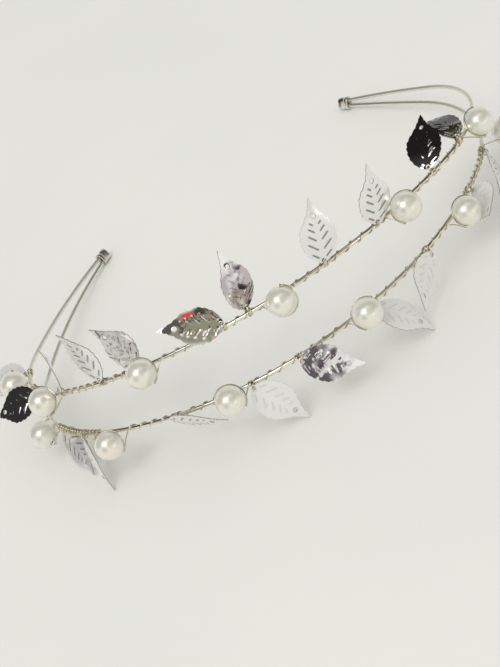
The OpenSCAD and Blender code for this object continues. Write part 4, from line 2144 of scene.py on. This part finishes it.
@dataclass(frozen=True)
class Lamp:
    """A rectangular light that faces the tiara.

    Attributes:
        toward: Direction in which it hangs.
        far: Its distance, in metres.
        size: Its two sides, in metres.
    """

    name: str
    toward: tuple[float, float, float]
    far: float
    size: tuple[float, float]
    power: float
    colour: Colour = (1.0, 1.0, 1.0)

    def hang(self) -> None:
        """Adds the lamp to the scene."""
        data = bpy.data.lights.new(self.name, "AREA")
        data.shape = "RECTANGLE"
        data.size, data.size_y = self.size
        data.energy = self.power
        data.color = self.colour
        lamp = bpy.data.objects.new(self.name, data)
        way = Vector(self.toward).normalized()
        lamp.location = way * self.far
        lamp.rotation_euler = way.to_track_quat("Z", "Y").to_euler()
        bpy.context.scene.collection.objects.link(lamp)


@dataclass(frozen=True)
class View:
    """The camera, fitted to the photograph.

    Attributes:
        elevation: Its height above the floor, in degrees.
        azimuth: Its turn about the tiara, in degrees.
        roll: Its turn about its own line of sight, in degrees.
    """

    picture: tuple[int, int] = (500, 667)
    focal_px: float = 1566.37
    sensor: float = 36.0
    target: tuple[float, float, float] = (-15.13, -77.36, 0.0)
    distance: float = 439.41
    elevation: float = 35.27
    azimuth: float = 4.26
    roll: float = -34.6
    nearest: float = 0.01

    def set_up(self, bench: Bench) -> None:
        """Adds the camera to the scene.

        Args:
            bench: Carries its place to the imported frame.
        """
        elevation, azimuth, roll = (math.radians(a) for a in (self.elevation, self.azimuth, self.roll))
        back = np.array([
            math.sin(azimuth) * math.cos(elevation),
            -math.cos(azimuth) * math.cos(elevation),
            math.sin(elevation),
        ])
        level = np.array([math.cos(azimuth), math.sin(azimuth), 0.0])
        upright = np.cross(back, level)
        right = math.cos(roll) * level + math.sin(roll) * upright
        top = -math.sin(roll) * level + math.cos(roll) * upright
        data = bpy.data.cameras.new("portrait")
        data.sensor_width = self.sensor
        data.lens = self.sensor * self.focal_px / max(self.picture)
        data.clip_start = self.nearest
        camera = bpy.data.objects.new("portrait", data)
        place = bench.carry(np.array(self.target) + back * self.distance)
        turn = Matrix(np.stack([right, top, back], axis=1).tolist()).to_4x4()
        camera.matrix_world = Matrix.Translation(Vector(place)) @ turn
        bpy.context.scene.collection.objects.link(camera)
        bpy.context.scene.camera = camera


@dataclass
class Studio:
    """Floor, soft lights, surroundings and camera.

    Attributes:
        wall_light: Light of the walls in what the metal mirrors.
        backdrop: Light of the walls as the camera sees them.
        soft_fill: Light of the walls on what isn't polished.
        zones: Darker and coloured patches that the metal mirrors, later ones over earlier ones.
    """

    bench: Bench
    floor_size: float = 3.0
    wall_light: Colour = (0.86, 0.86, 0.83)
    backdrop: Colour = (0.70, 0.70, 0.67)
    soft_fill: Colour = (0.865, 0.86, 0.84)
    view: View = View()
    lamps: tuple[Lamp, ...] = (
        Lamp("window", (-0.30, -0.40, 0.866), 2.2, (1.25, 1.15), 10.0, (1.0, 0.995, 0.97)),
        Lamp("small_lamp", (0.525, -0.832, 0.146), 1.2, (0.10, 0.10), 0.22),
    )
    zones: tuple[Zone, ...] = (
        Zone((0.10, 1.0, 0.10), 30, 62, (0.54, 0.56, 0.52)),
        Zone((0.90, 0.16, 0.38), 14, 32, (0.13, 0.13, 0.08)),
        Zone((0.34, -0.68, 0.62), 20, 34, (0.28, 0.27, 0.20)),
        Zone((0.55, 0.30, 0.78), 18, 25, (0.035, 0.035, 0.025)),
        Zone((0.66, -0.34, 0.68), 8, 15, (0.06, 0.07, 0.045)),
        Zone((0.80, -0.35, 0.48), 9, 16, (0.03, 0.03, 0.02)),
        Zone((0.08, -0.60, 0.79), 10, 15, (0.10, 0.095, 0.085)),
        Zone((0.42, -0.86, 0.28), 6, 12, (0.55, 0.42, 0.28)),
        Zone((0.41, -0.42, 0.81), 4, 7, (0.70, 0.08, 0.07)),
        Zone((-0.25, 0.35, 0.90), 30, 38, (0.045, 0.043, 0.038)),
        Zone((-0.80, 0.25, 0.54), 24, 32, (0.03, 0.03, 0.03)),
        Zone((-0.66, -0.70, 0.26), 10, 30, (0.13, 0.11, 0.12)),
        Zone((-0.97, -0.10, 0.18), 5, 16, (0.92, 0.82, 0.70)),
    )

    def floor(self, material: Material) -> None:
        """Lays the floor at the height the tiara rests on.

        Args:
            material: The floor's material.
        """
        half = self.floor_size / 2
        points = [(-half, -half, 0.0), (half, -half, 0.0), (half, half, 0.0), (-half, half, 0.0)]
        floor = bpy.data.objects.new("floor", mesh_of("floor", np.array(points), [(0, 1, 2, 3)], material))
        bpy.context.scene.collection.objects.link(floor)

    def surroundings(self) -> None:
        """Makes the world: pale walls with the darker patches that the metal mirrors."""
        world = bpy.data.worlds.new("pale_room")
        bpy.context.scene.world = world
        world.use_nodes = True
        world.node_tree.nodes.clear()
        build = TreeBuilder(world.node_tree)
        way = build.vector("NORMALIZE", build.node("ShaderNodeTexCoord").outputs["Generated"])
        colour: Any = rgba(self.wall_light)
        for zone in self.zones:
            middle = tuple(unit(np.array(zone.toward)))
            feeds = {0: way, 1: middle}
            near = build.node("ShaderNodeVectorMath", feeds, operation="DOT_PRODUCT").outputs["Value"]
            low, high = math.cos(math.radians(zone.outer_deg)), math.cos(math.radians(zone.inner_deg))
            colour = build.mixed(build.ranged(near, low, high), colour, rgba(zone.colour))
        path = build.node("ShaderNodeLightPath").outputs
        colour = build.mixed(path["Is Diffuse Ray"], colour, rgba(self.soft_fill))
        colour = build.mixed(path["Is Camera Ray"], colour, rgba(self.backdrop))
        light = build.node("ShaderNodeBackground", {"Color": colour, "Strength": 1.0})
        build.node("ShaderNodeOutputWorld", {"Surface": light.outputs["Background"]})

    def build(self, finishes: Finishes) -> None:
        """Sets up everything round the tiara.

        Args:
            finishes: All materials.
        """
        self.view.set_up(self.bench)
        self.floor(finishes.floor)
        for lamp in self.lamps:
            lamp.hang()
        self.surroundings()
        bpy.context.scene.view_settings.view_transform = "Standard"


def main() -> None:
    """Loads the frame and dresses it piece by piece."""
    logging.basicConfig(level=logging.INFO, format="%(name)s %(message)s")
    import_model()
    bench = Bench.from_frame(UPPER)
    trees = WireTrees()
    finishes = Finishes.make()
    blank = LeafBlank()
    for row in (UPPER, LOWER):
        MainWire(bench, trees, row, finishes.champagne_wire).build()
        Binding(bench, trees, row, blank, finishes.binding).build()
        Pearls(bench, row, finishes.nacre).build()
        Leaves(bench, blank, row, finishes.leaf).build()
    for side in (-1, 1):
        Sleeves(bench, finishes.sleeve).build(side)
    Studio(bench).build(finishes)


if __name__ == "__main__":
    main()
